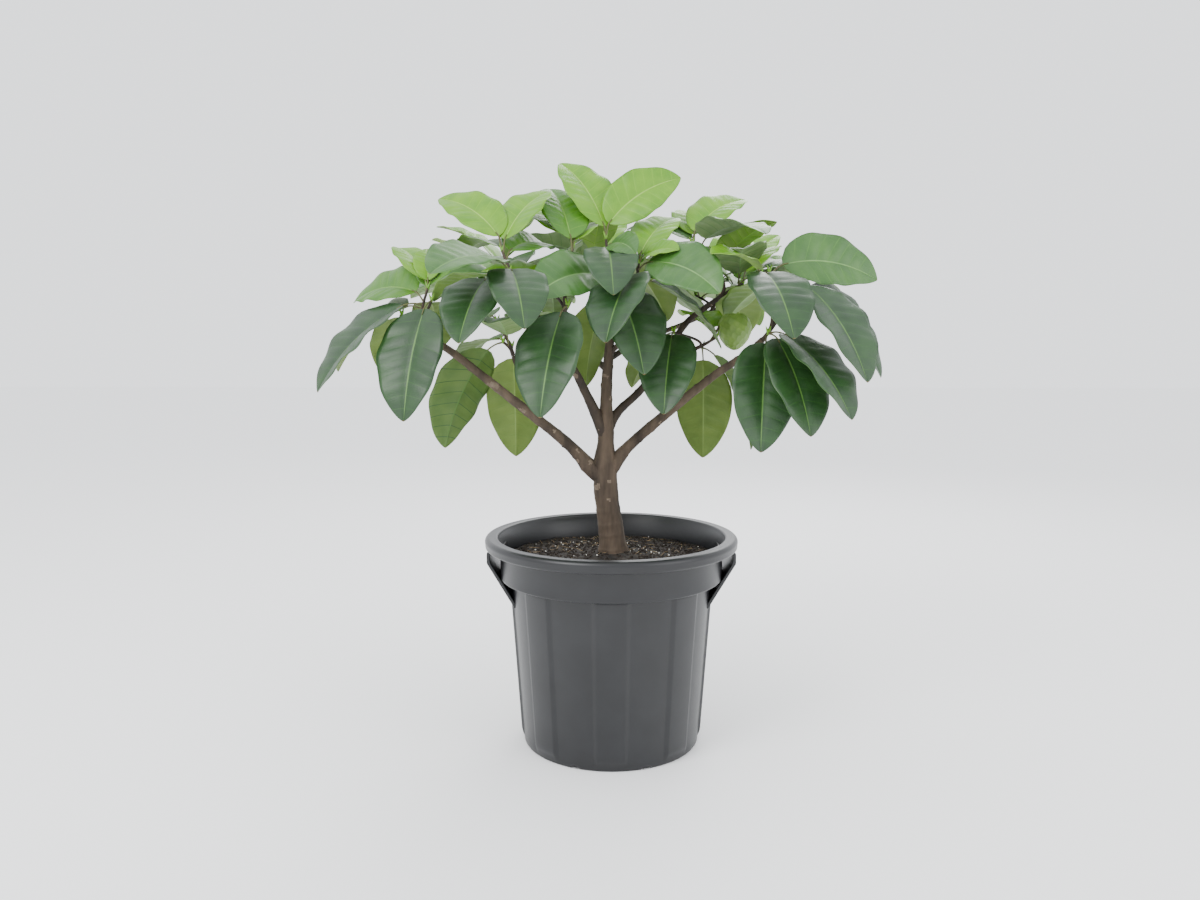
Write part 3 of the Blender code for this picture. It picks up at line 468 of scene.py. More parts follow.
# %% Straw fibres
FIBRE_COUNT = 190
FIBRE_REACH = 0.222
FIBRE_LENGTHS = (0.006, 0.026)
FIBRE_TILT = 0.25
FIBRE_LIFT = 0.0018
LYING = 1.57  # the turn that lays a standing cone level

draw = random.Random(33)
work = bmesh.new()
for _ in range(FIBRE_COUNT):
    x, y = bed_place(draw, FIBRE_REACH)[:2]
    length = draw.uniform(*FIBRE_LENGTHS)
    tilt = draw.uniform(-FIBRE_TILT, FIBRE_TILT)
    lie = LYING + draw.uniform(-FIBRE_TILT, FIBRE_TILT)
    turn = Euler((tilt, lie, draw.uniform(0, 6)))
    place = Matrix.Translation((x, y, soil_height(x, y) + FIBRE_LIFT)) @ turn.to_matrix().to_4x4()
    bmesh.ops.create_cone(
        work, cap_ends=True, segments=5, radius1=0.0006, radius2=0.0003, depth=length, matrix=place)
finish_piece("straw_fibres", work, [straw_finish], outward=False)

# %% [markdown]
# The limbs are tapered routes, given by a few places with the radius there.
# They are the same rows as the solid model uses, so bark and solid stay together.
# A smooth curve runs through each route's rows.

# %% Routes of the trunk and boughs
LIMBS = {
    "trunk": (
        ((0.004, 0.0, SOIL_TOP - 0.012), 0.035), ((0.003, 0.0, 0.422), 0.03),
        ((0.0, 0.0, 0.455), 0.0272), ((-0.008, 0.0, 0.515), 0.0252), ((-0.012, 0.0, 0.56), 0.0258),
        ((-0.013, 0.0, 0.602), 0.0262), ((-0.012, 0.0, 0.645), 0.0172),
        ((-0.011, 0.0, 0.69), 0.016), ((-0.011, 0.0, 0.73), 0.0126), ((-0.009, 0.0, 0.79), 0.0114),
        ((-0.002, 0.0, 0.88), 0.0084), ((-0.003, 0.0, 0.952), 0.0062),
    ),
    "bough_left": (
        ((-0.01, 0.0, 0.568), 0.02), ((-0.045, -0.006, 0.595), 0.0172),
        ((-0.068, -0.012, 0.622), 0.0138), ((-0.108, -0.024, 0.662), 0.0113),
        ((-0.222, -0.05, 0.756), 0.0092), ((-0.321, -0.06, 0.836), 0.0076),
        ((-0.362, -0.06, 0.862), 0.0066),
    ),
    "bough_right": (
        ((-0.008, 0.0, 0.584), 0.019), ((0.014, -0.002, 0.614), 0.0152),
        ((0.034, -0.007, 0.638), 0.0118), ((0.083, -0.02, 0.684), 0.0109),
        ((0.207, -0.05, 0.789), 0.008), ((0.279, -0.068, 0.839), 0.0072),
        ((0.304, -0.074, 0.864), 0.0064),
    ),
    "bough_left_high": (
        ((-0.011, 0.0, 0.655), 0.0135), ((-0.036, -0.012, 0.717), 0.0112),
        ((-0.055, -0.028, 0.758), 0.009), ((-0.082, -0.05, 0.811), 0.0078),
        ((-0.147, -0.088, 0.908), 0.0064), ((-0.184, -0.1, 0.97), 0.0054),
    ),
    "bough_right_high": (
        ((-0.011, 0.0, 0.668), 0.012), ((0.014, 0.012, 0.712), 0.0092),
        ((0.063, 0.03, 0.758), 0.008), ((0.11, 0.046, 0.82), 0.0074),
        ((0.159, 0.06, 0.898), 0.0068), ((0.222, 0.062, 0.948), 0.0056),
    ),
    "bough_back": (
        ((-0.01, 0.002, 0.69), 0.011), ((-0.01, 0.045, 0.74), 0.009),
        ((-0.008, 0.12, 0.815), 0.0078), ((-0.004, 0.185, 0.88), 0.0066),
        ((0.004, 0.225, 0.935), 0.0054),
    ),
    "bough_back_left": (
        ((-0.009, 0.1, 0.797), 0.007), ((-0.07, 0.165, 0.85), 0.0062),
        ((-0.15, 0.22, 0.89), 0.0056), ((-0.215, 0.25, 0.925), 0.005),
    ),
    "bough_back_right": (
        ((-0.008, 0.125, 0.82), 0.0068), ((0.065, 0.18, 0.862), 0.006),
        ((0.15, 0.225, 0.893), 0.0054), ((0.215, 0.255, 0.92), 0.005),
    ),
    "spur_left": (
        ((-0.152, -0.037, 0.703), 0.0052), ((-0.18, -0.038, 0.76), 0.0046),
        ((-0.203, -0.038, 0.832), 0.0042),
    ),
    "spur_high": (
        ((-0.078, -0.048, 0.804), 0.0056), ((-0.088, -0.08, 0.858), 0.005),
        ((-0.092, -0.1, 0.908), 0.0046),
    ),
    "spur_middle": (
        ((-0.004, 0.0, 0.836), 0.0056), ((0.028, -0.016, 0.872), 0.005),
        ((0.042, -0.034, 0.915), 0.0046), ((0.048, -0.042, 0.958), 0.0043),
    ),
    "spur_right": (
        ((0.104, 0.045, 0.812), 0.0052), ((0.142, 0.05, 0.828), 0.0047),
        ((0.174, 0.054, 0.842), 0.0043),
    ),
}


def smooth_route(path, spans):
    """Points and radii along a Catmull-Rom curve through a path's rows."""
    places = [Vector(place) for place, _ in path]
    radii = [radius for _, radius in path]
    before = [places[0] * 2 - places[1]] + places[:-1]
    after = places[1:] + [places[-1] * 2 - places[-2]]
    route = []
    for index in range(len(places) - 1):
        start, end = places[index], places[index + 1]
        leave = (end - before[index]) / 2
        arrive = (after[index + 1] - start) / 2
        for step in range(spans):
            t = step / spans
            place = (
                start * (2 * t**3 - 3 * t**2 + 1) + leave * (t**3 - 2 * t**2 + t)
                + end * (3 * t**2 - 2 * t**3) + arrive * (t**3 - t**2))
            route.append((place, radii[index] + (radii[index + 1] - radii[index]) * t))
    route.append((places[-1], radii[-1]))
    return route


routes = {name: smooth_route(path, 2) for name, path in LIMBS.items()}
print("limbs", len(routes))

# %% [markdown]
# A limb could be a curve with a bevel, but bark needs its relief in the mesh.
# So a circle is made at the foot and extruded ring by ring along the route, and each ring's
# points are pushed in and out by noise that is drawn out along the limb. That gives fissures.
# Old leaf scars are low collars at uneven steps, and noise gives some patches a paler finish.

# %% A helper that extrudes a ring along a route
def sweep(work, route, sides):
    """Extrude a circle along points and radii, closed at both ends. Gives back the rings."""
    rings = []
    ring = bmesh.ops.create_circle(work, cap_ends=False, segments=sides, radius=1.0)["verts"]
    shape = [vert.co.copy() for vert in ring]
    turn = None
    for index, (place, radius) in enumerate(route):
        ahead = route[min(index + 1, len(route) - 1)][0]
        behind = route[max(index - 1, 0)][0]
        direction = (ahead - behind).normalized()
        if turn is None:
            turn = direction.to_track_quat("Z", "Y")
        else:
            turn = (turn @ Vector((0, 0, 1))).rotation_difference(direction) @ turn
        if index:
            edges = [
                edge for edge in {edge for vert in ring for edge in vert.link_edges}
                if edge.verts[0] in ring and edge.verts[1] in ring
            ]
            made = bmesh.ops.extrude_edge_only(work, edges=edges)
            partner = {}
            for vert in new_corners(made):
                for edge in vert.link_edges:
                    other = edge.other_vert(vert)
                    if other in ring:
                        partner[other] = vert
            ring = [partner[vert] for vert in ring]
        for vert, corner in zip(ring, shape):
            vert.co = place + (turn @ corner) * radius
        rings.append(ring)
    work.faces.new(rings[0])
    work.faces.new(rings[-1])
    return rings


# %% Bark on the trunk and the boughs
BARK_STEP = 0.0035  # between rings along a limb
BARK_CURVE = 12  # steps of the curve between two rows of a route
TRUNK_SIDES = 40
BOUGH_SIDES = 26
LUMP_SHARE = 0.045  # of the radius
FISSURE_SHARE = 0.055  # of the radius, less where that is under the next
FISSURE_RADIUS = 0.012
SCAR_SPACING = 0.034
SCAR_SWELL = 0.16  # of the radius, less where that is over the next
SCAR_RADIUS = 0.009
SCAR_TALL = 0.0034
SCAR_BACK = 0.35  # what is left of a scar on its far side
FLARE_SHARE = 0.1
FLARE_TOP = 0.44
FLARE_RUN = 0.028
ROOT_COUNT = 5
PALE_ABOVE = 0.46  # noise above it takes the pale finish
OLD_WOOD = ("trunk", "bough_left", "bough_right")

for name, path in LIMBS.items():
    coarse = smooth_route(path, BARK_CURVE)
    fine = [coarse[0]]
    for place, radius in coarse[1:]:
        last, was = fine[-1]
        steps = max(1, round((place - last).length / BARK_STEP))
        for step in range(1, steps + 1):
            share = step / steps
            fine.append((last.lerp(place, share), was + (radius - was) * share))
    draw = random.Random(len(name) * 7 + 3)
    scars = []
    reach = 0.02
    while reach < len(fine) * BARK_STEP:
        scars.append((reach, draw.uniform(0.0, tau)))
        reach += SCAR_SPACING * draw.uniform(0.6, 1.4)
    work = bmesh.new()
    sides = TRUNK_SIDES if name == "trunk" else BOUGH_SIDES
    travelled = 0.0
    for index, ring in enumerate(sweep(work, fine, sides)):
        centre, radius = fine[index]
        if index:
            travelled += (centre - fine[index - 1][0]).length
        for side, vert in enumerate(ring):
            out = vert.co - centre
            angle = tau * side / sides
            spot = Vector((cos(angle), sin(angle), 0.0)) * radius
            fissure = noise.noise(Vector((spot.x * 330, spot.y * 330, travelled * 42.0)))
            lump = noise.noise(Vector((spot.x * 60, spot.y * 60, travelled * 26.0 + 9.0)))
            push = LUMP_SHARE * lump + FISSURE_SHARE * fissure * min(radius / FISSURE_RADIUS, 1.0)
            for place, where in scars:
                near = exp(-((travelled - place) / SCAR_TALL)**2)
                facing = SCAR_BACK + (1.0 - SCAR_BACK) * max(cos(angle - where), 0.0)**2
                push += SCAR_SWELL * near * facing * min(SCAR_RADIUS / radius, 1.0)
            vert.co = centre + out * (1.0 + push)
    if name == "trunk":
        for vert in work.verts:
            low = ease((FLARE_TOP - vert.co.z) / FLARE_RUN)
            angle = atan2(vert.co.y, vert.co.x)
            flare = 1.0 + FLARE_SHARE * low * cos(ROOT_COUNT * angle + 1.0)
            vert.co.x *= flare
            vert.co.y *= flare
    for face in work.faces:
        centre = face.calc_center_median()
        if noise.noise(centre * 55.0 + Vector((3.0, 1.0, 2.0))) > PALE_ABOVE:
            face.material_index = 1
    wood = bark_finish if name in OLD_WOOD else young_bark_finish
    finish_piece(name + "_bark", work, [wood, scar_finish], (name,))

# %% [markdown]
# Cherimoya leaves are large and soft. They grow near the ends of young twigs and hang as they age.
# The solid model's own rule is written again here, with the same tables and seeds: each twig
# lists its leaves from the youngest, and the rest follow by the golden angle.

# %% The rule's sizes
PETIOLE_SHARE = 0.16
PETIOLE_RISE = 25.0
PETIOLE_STEEPEST = 80.0
LEAF_RATIO = 0.58
LEAF_FOLD = 12.0
BASE_POWER = 0.55  # how bluntly a blade's outline starts
TIP_POWER = 0.75  # and how bluntly it ends
DROOP_LEAST = 16.0
DROOP_LEVEL = 30.0
LEAF_TURNS = (0, 12, -12, 24, -24, 36, -36, 50, -50)
LEAF_TIPS = (0, -9, 9, -18, 18)
GOLDEN_ANGLE = 137.5
TURN_SPREAD = 15.0
GROWN_ORDER = 4.0  # the place on its twig where a leaf is grown
LIFT_YOUNG = 38.0
LIFT_LOSS = 62.0
LIFT_SPREAD = 10.0
LIFT_LEAST = -72.0
LENGTH_YOUNG = 0.165
LENGTH_GAIN = 0.05
LENGTH_SPREAD = 0.012
FACE_SPREAD = (-15.0, 25.0)
TWIG_RADIUS = 0.0042
TWIG_TIP_RADIUS = 0.0026
TWIG_STEPS = 4
TWIG_REACH = 0.4  # of its length, along its stem's direction
STEM_LEAD = 0.008
TWIG_STAGGER = 0.0011
TWIG_SLIMMER = 0.08
NODE_GAP = 0.0075

# %% The masses, their twigs and their leaves
# A leaf is its compass heading, its lift above level, its blade's length and how far the
# blade is turned about its midrib to face the front.
Leaf = namedtuple("Leaf", "heading lift length face", defaults=(0,))
# A twig grows from its mass's stem to its tip. Its leaves are listed youngest first, and then
# comes how many more follow by the golden angle.
Twig = namedtuple("Twig", "tip leaves more", defaults=((), 0))
# A mass grows from its limb's tip, and its seed draws the leaves that aren't listed.
Mass = namedtuple("Mass", "limb seed twigs")
MASSES = {
    "leaves_top": Mass("trunk", 11, (
        Twig((-0.012, 0.0, 1.075), ((16, 32, 0.19, 62), (135, 47, 0.2, 16), (40, 72, 0.09, 20),
            (-61, -15, 0.11, 40), (-86, -33, 0.19)), 1),
        Twig((-0.001, -0.01, 0.98), ((-144, -15, 0.205, 46), (-59, -47, 0.24), (128, -72, 0.2))),
    )),
    "leaves_middle": Mass("spur_middle", 12, (
        Twig((0.056, -0.04, 1.02), ((-40, 6, 0.095, 40), (56, 31, 0.17, 10), (-46, -20, 0.205, 44),
            (115, 18, 0.13)), 2),
    )),
    "leaves_left_high": Mass("bough_left_high", 13, (
        Twig((-0.218, -0.095, 1.042), ((146, 28, 0.185, 30), (56, 37, 0.185, 6), (121, 0, 0.18),
            (64, 5, 0.17, 25))),
        Twig((-0.201, -0.128, 0.996), ((-76, -36, 0.2), (-122, -9, 0.215, 20))),
        Twig((-0.236, -0.115, 0.98), ((-102, -38, 0.205), (150, -20, 0.15))),
    )),
    "leaves_left_crest": Mass("spur_high", 14, (
        Twig((-0.079, -0.032, 1.052), ((129, 19, 0.175, 12), (75, 26, 0.15), (99, 40, 0.185),
            (-20, -30, 0.13, 20)), 1),
        Twig((-0.086, -0.132, 0.932), ((-108, -60, 0.23),)),
        Twig((-0.126, -0.062, 0.962), ((90, -24, 0.17), (-175, 10, 0.15, 20))),
    )),
    "leaves_left": Mass("bough_left", 15, (
        Twig((-0.375, -0.05, 0.97), ((100, 42, 0.105), (124, 28, 0.16), (69, 48, 0.16),
            (66, 34, 0.175), (144, -5, 0.2, 40), (-162, -45, 0.25, 15), (176, -35, 0.245, 30))),
        Twig((-0.364, -0.074, 0.944), ((-106, -66, 0.24), (94, -36, 0.17))),
        Twig((-0.428, -0.058, 0.916), ((110, -50, 0.19, 10),)),
    )),
    "leaves_left_inner": Mass("spur_left", 16, (
        Twig((-0.224, -0.036, 0.86), ((164, -64, 0.235, -32), (132, -22, 0.17, 10)), 1),
        Twig((-0.235, -0.046, 0.902), ((172, -20, 0.17, 20), (40, -8, 0.15))),
        Twig((-0.208, -0.014, 0.85), ((90, -79, 0.22),), 1),
    )),
    "leaves_right_high": Mass("bough_right_high", 17, (
        Twig((0.169, 0.03, 1.065), ((41, 26, 0.18, 20), (122, 30, 0.175), (160, 10, 0.15, 20)), 1),
        Twig((0.286, 0.094, 0.985), ((60, 20, 0.18), (84, -44, 0.19)), 2),
    )),
    "leaves_right_inner": Mass("spur_right", 18, (
        Twig((0.226, 0.052, 0.87), ((100, 10, 0.16),)),
        Twig((0.197, 0.072, 0.848), ((78, -86, 0.22), (8, -68, 0.22, -20))),
        Twig((0.13, -0.008, 0.88), ((-100, -50, 0.205), (122, -48, 0.16))),
    )),
    "leaves_right": Mass("bough_right", 19, (
        Twig((0.32, -0.05, 1.002), ((107, 58, 0.13), (11, -8, 0.215, 62), (118, 17, 0.21, 28))),
        Twig((0.299, -0.074, 0.994), ((-80, -38, 0.215), (-140, 10, 0.14, 20))),
        Twig((0.369, -0.05, 0.986), ((30, 20, 0.09), (-53, -50, 0.25), (12, -48, 0.25, 40)), 1),
        Twig((0.314, -0.092, 0.878), ((-48, -44, 0.235), (-67, -56, 0.225), (-90, -66, 0.23, 20))),
    )),
    "leaves_back": Mass("bough_back", 20, (
        Twig((-0.045, 0.25, 1.04), (), 5),
        Twig((0.055, 0.3, 1.01), (), 5),
    )),
    "leaves_back_left": Mass("bough_back_left", 21, (
        Twig((-0.25, 0.215, 1.02), (), 5),
        Twig((-0.3, 0.3, 0.985), (), 5),
        Twig((-0.215, 0.345, 0.975), (), 4),
    )),
    "leaves_back_right": Mass("bough_back_right", 22, (
        Twig((0.245, 0.22, 1.01), (), 5),
        Twig((0.3, 0.305, 0.98), (), 5),
        Twig((0.205, 0.35, 0.97), (), 4),
    )),
}
print("listed leaves", sum(len(twig.leaves) for mass in MASSES.values() for twig in mass.twigs))

# %% The rule written again
def half_width(along):
    """A blade's half width at a share of its length, 1 at the widest."""
    widest = BASE_POWER / (BASE_POWER + TIP_POWER)
    peak = widest**BASE_POWER * (1 - widest)**TIP_POWER
    return along**BASE_POWER * (1 - along)**TIP_POWER / peak


class Blade:
    """One leaf's midrib: a petiole and then an arc that bends down towards the tip."""

    def __init__(self, foot, leaf):
        heading = radians(leaf.heading)
        self.out = Vector((cos(heading), sin(heading), 0.0))
        self.side = self.out.cross(Vector((0.0, 0.0, 1.0)))
        self.length = leaf.length
        self.foot = foot
        lift = radians(leaf.lift)
        bend = DROOP_LEAST + DROOP_LEVEL * cos(lift)
        self.bend = radians(bend)
        self.start = lift + self.bend / 2
        rise = min(leaf.lift + bend / 2 + PETIOLE_RISE, PETIOLE_STEEPEST)
        self.petiole = self.direction(radians(rise)) * PETIOLE_SHARE * leaf.length
        self.roll = radians(leaf.face) * (1 if self.out.x >= 0 else -1)

    def direction(self, rise):
        return self.out * cos(rise) + Vector((0.0, 0.0, sin(rise)))

    def place(self, along):
        rise = self.start - self.bend * along
        level = (sin(self.start) - sin(rise)) / self.bend
        height = (cos(rise) - cos(self.start)) / self.bend
        offset = self.out * level + Vector((0.0, 0.0, height))
        return self.foot + self.petiole + offset * self.length

    def axes(self, along):
        """The sideways and upward directions of the blade there."""
        rise = self.start - self.bend * along
        up = self.out * -sin(rise) + Vector((0.0, 0.0, cos(rise)))
        turned_up = up * cos(self.roll) + self.side * sin(self.roll)
        turned_side = self.side * cos(self.roll) - up * sin(self.roll)
        return turned_side, turned_up


def mass_stem(routes, mass):
    """A mass's stem starts clear of its limb's tip and runs on the same way."""
    last, radius = routes[mass.limb][-1]
    before, _ = routes[mass.limb][-2]
    onward = (last - before).normalized()
    return last + onward * GAP, onward, radius


def twig_route(foot, onward, twig, radius, number):
    """A twig leaves along its stem and bends to its tip, thinning as it goes.

    Each further twig of a mass starts a little deeper and slimmer, so no two skins coincide.
    """
    foot = foot + onward * TWIG_STAGGER * number
    radius = radius * (1.0 - TWIG_SLIMMER * number)
    tip = Vector(twig.tip)
    root = foot + onward * STEM_LEAD
    reach = root + onward * (tip - root).length * TWIG_REACH
    start = min(radius, TWIG_RADIUS) * (1.0 - TWIG_SLIMMER * number)
    route = [(foot, radius)]
    for step in range(TWIG_STEPS + 1):
        t = step / TWIG_STEPS
        place = root * (1 - t)**2 + reach * 2 * t * (1 - t) + tip * t**2
        route.append((place, start + (TWIG_TIP_RADIUS - start) * t))
    return route


def twig_leaves(twig, draw):
    """The listed leaves, and then those that follow the golden angle."""
    leaves = [Leaf(*row) for row in twig.leaves]
    heading = leaves[-1].heading if leaves else draw.uniform(-180.0, 180.0)
    for extra in range(twig.more):
        heading += GOLDEN_ANGLE + draw.uniform(-TURN_SPREAD, TURN_SPREAD)
        age = (len(twig.leaves) + extra) / GROWN_ORDER
        lift = LIFT_YOUNG - LIFT_LOSS * age + draw.uniform(-LIFT_SPREAD, LIFT_SPREAD)
        length = LENGTH_YOUNG + LENGTH_GAIN * min(age, 1.0)
        length += draw.uniform(-LENGTH_SPREAD, LENGTH_SPREAD)
        leaves.append(Leaf(heading, max(lift, LIFT_LEAST), length, draw.uniform(*FACE_SPREAD)))
    return leaves


def leaf_feet(route, count):
    """Where the leaves leave a twig: a rosette from its tip back."""
    feet = []
    cell = len(route) - 2
    end, start = route[cell + 1][0], route[cell][0]
    travelled = 0.0
    for index in range(count):
        wanted = index * NODE_GAP
        while cell > 0 and wanted - travelled > (end - start).length:
            travelled += (end - start).length
            cell -= 1
            end, start = start, route[cell][0]
        share = min((wanted - travelled) / (end - start).length, 0.9)
        feet.append(end.lerp(start, share))
    return feet


def candidates(leaf):
    """The leaf as meant, and then turned or tipped a little further each time."""
    for tip in LEAF_TIPS:
        for turn in LEAF_TURNS:
            yield leaf._replace(heading=leaf.heading + turn, lift=leaf.lift + tip)


# %% [markdown]
# The rule tries each leaf at several turns until it stands clear, and so does this. The one that
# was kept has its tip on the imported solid, as a search tree of its points tells. A leaf with no
# such tip was skipped there and is skipped here.

# %% Growing the leaves that the solids have
Grown = namedtuple("Grown", "mass order blade leaf")
TIP_MATCH = 0.0004

grown = []
twig_routes = []
first_twig = {}
for name, mass in MASSES.items():
    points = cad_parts[name].data.vertices
    tips = KDTree(len(points))
    for index, point in enumerate(points):
        tips.insert(point.co, index)
    tips.balance()
    taken = set()
    foot, onward, radius = mass_stem(routes, mass)
    draw = random.Random(mass.seed)
    for number, twig in enumerate(mass.twigs):
        route = twig_route(foot, onward, twig, radius, number)
        twig_routes.append(route)
        first_twig.setdefault(name, route)
        leaves = twig_leaves(twig, draw)
        for order, (start, leaf) in enumerate(zip(leaf_feet(route, len(leaves)), leaves)):
            for trial in candidates(leaf):
                blade = Blade(start, trial)
                _, match, distance = tips.find(blade.place(1.0))
                if distance < TIP_MATCH and match not in taken:
                    taken.add(match)
                    grown.append(Grown(name, order, blade, trial))
                    break
print("leaves grown", len(grown), "twigs", len(twig_routes))

# %% [markdown]
# A real blade is thin and quilted. Nine or so pairs of side veins slant to the margin, sunken
# above, with the flesh swelling between them. The margin waves, and the tip is drawn out.
# A grid is bent to that shape: its rows follow the side veins, and every fourth one is a narrow
# vein. The underside is a copy a hair lower, with the two rims bridged.

# %% Leaf finishes
LEAF_PATCHES = 26.0
LEAF_BUMP = 0.35
LEAF_GRAIN = 420.0
VEIN_PATCHES = 60.0
VEIN_ROUGHNESS = 0.5


def leaf_finish(name, low, high, roughness, coat=0.0):
    return make_finish(name, low, high, LEAF_PATCHES, roughness, LEAF_BUMP, LEAF_GRAIN, coat=coat)


def vein_finishes(part, tones):
    """A finish for each tone of the midribs or of the side veins."""
    finishes = {}
    for tone, (low, high) in tones.items():
        finishes[tone] = make_finish(part + "_" + tone, low, high, VEIN_PATCHES, VEIN_ROUGHNESS)
    return finishes


LEAF_TONES = {
    "young": leaf_finish("leaf_young", (0.085, 0.245, 0.002), (0.135, 0.315, 0.005), 0.46, 0.05),
    "middle": leaf_finish("leaf_middle", (0.04, 0.15, 0.003), (0.07, 0.2, 0.007), 0.46, 0.05),
    "dark": leaf_finish("leaf_dark", (0.007, 0.034, 0.006), (0.014, 0.056, 0.009), 0.44, 0.06),
    # The grey-green tone is a painted sheen: a reflection painted into the colour of level leaves that
    # face the front.
    "painted_sheen": leaf_finish("leaf_grey_green", (0.028, 0.105, 0.012), (0.05, 0.145, 0.02), 0.42, 0.12),
    # The olive tone is partly the underside's own yellow-green and partly painted light shining through
    # the leaves from behind.
    "olive_painted_backlight": leaf_finish("leaf_olive_painted_backlight", (0.048, 0.118, 0.003), (0.08, 0.165, 0.006), 0.5, 0.03),
}
UNDER_TONES = {
    "young": leaf_finish("under_young", (0.17, 0.3, 0.05), (0.23, 0.37, 0.075), 0.6),
    "middle": leaf_finish("under_middle", (0.08, 0.165, 0.016), (0.118, 0.215, 0.026), 0.62),
    "dark": leaf_finish("under_dark", (0.06, 0.125, 0.018), (0.092, 0.165, 0.028), 0.62),
    # The underside, midrib and vein tones of the painted sheen are greyed the same way.
    "painted_sheen": leaf_finish("under_painted_sheen", (0.11, 0.19, 0.055), (0.16, 0.25, 0.08), 0.62),
    "olive_painted_backlight": leaf_finish("under_olive_painted_backlight", (0.088, 0.155, 0.014), (0.125, 0.2, 0.024), 0.62),
}
MIDRIB_TONES = vein_finishes("midrib", {
    "young": ((0.22, 0.4, 0.05), (0.27, 0.45, 0.07)),
    "middle": ((0.12, 0.27, 0.03), (0.16, 0.32, 0.045)),
    "dark": ((0.06, 0.15, 0.025), (0.085, 0.185, 0.035)),
    "painted_sheen": ((0.11, 0.24, 0.06), (0.15, 0.29, 0.08)),
    "olive_painted_backlight": ((0.14, 0.23, 0.035), (0.18, 0.28, 0.05)),
})
VEIN_TONES = vein_finishes("vein", {
    "young": ((0.13, 0.305, 0.008), (0.165, 0.35, 0.014)),
    "middle": ((0.066, 0.19, 0.008), (0.09, 0.23, 0.013)),
    "dark": ((0.014, 0.058, 0.009), (0.022, 0.076, 0.013)),
    "painted_sheen": ((0.048, 0.14, 0.02), (0.068, 0.175, 0.03)),
    "olive_painted_backlight": ((0.078, 0.155, 0.008), (0.104, 0.19, 0.014)),
})
TIP_BROWN = make_finish("leaf_tip_dry", (0.1, 0.06, 0.022), (0.19, 0.12, 0.045), 90.0, 0.8, 0.4)
print("finishes in all", len(bpy.data.materials))

# %% Which leaf takes which tone
TONE_ORDER = list(LEAF_TONES)
YOUNG_ORDER = 1  # the last place from the tip that can be young
YOUNG_LIFT = 5
HANGING_LIFT = -32
LEVEL_LIFT = 12
BEHIND = 0.35  # how far to the back a heading points, 1 at most


def leaf_tone(item):
    """A leaf's tone by its place on the twig, how it hangs, and whether it points to the back."""
    lift = item.leaf.lift
    behind = sin(radians(item.leaf.heading)) > BEHIND
    if item.order <= YOUNG_ORDER and lift > YOUNG_LIFT:
        return "young"
    if lift < HANGING_LIFT:
        # Hanging leaves that point to the back take the lighter olive, which is partly painted light
        # shining through them from behind.
        return "olive_painted_backlight" if behind else "dark"
    # Level leaves facing the front take the grey-green painted sheen.
    if lift < LEVEL_LIFT and not behind:
        return "painted_sheen"
    return "middle"


# %% One leaf
VEIN_PAIRS = 9
VEIN_ROWS = (0.0, 0.065, 0.37, 0.69)  # a period of rows: the vein's strip, then the flesh
MIDRIB_EDGE = 0.026
HALF_COLUMNS = (MIDRIB_EDGE, 0.14, 0.36, 0.62, 0.86, 1.0)
VEIN_COLUMNS = tuple(-across for across in reversed(HALF_COLUMNS)) + HALF_COLUMNS
TIP_ROWS = (0.992, 1.0)
VEIN_SLANT = 0.17
BLADE_THICK = 0.0006
QUILT = 0.0017
EDGE_WAVE = 0.0034
EDGE_TURNS = 21.0  # radians of waving along a margin
SIZED_FOR = 0.22  # the blade's length that the sizes here suit
MIDRIB_SUNK = 0.0011
MIDRIB_WIDE = 0.07
MIDRIB_KEEL = 0.0011  # how far it stands out below, at the foot
VEIN_KEEL = 0.0004


def leaf_rows():
    rows = [(pair + part) / VEIN_PAIRS for pair in range(VEIN_PAIRS) for part in VEIN_ROWS]
    return rows + list(TIP_ROWS)


def leaf_point(blade, row, across, wave_start):
    """Where a grid point of the leaf lies: along a slanted row, out from the midrib."""
    out = abs(across)
    along = min(row + VEIN_SLANT * out * 4.0 * row * (1.0 - row)**1.6, 1.0)
    side, up = blade.axes(along)
    width = half_width(along) * blade.length * LEAF_RATIO / 2
    fold = radians(LEAF_FOLD) * (1.25 - 0.45 * out)
    place = blade.place(along)
    place = place + (side * cos(fold) * across + up * sin(fold) * out) * width
    phase = (row * VEIN_PAIRS) % 1.0
    swell = sin(pi * phase)**0.8 * sin(pi * min(out * 1.02, 1.0))**0.6
    size = blade.length / SIZED_FOR
    wave = sin(along * EDGE_TURNS + wave_start + (2.0 if across > 0 else 0.0))
    lift = QUILT * swell * size * sin(pi * min(along * 1.1, 1.0))
    lift += EDGE_WAVE * wave * out**3 * sin(pi * along) * size
    lift -= MIDRIB_SUNK * exp(-(across / MIDRIB_WIDE)**2)
    return place + up * lift, up


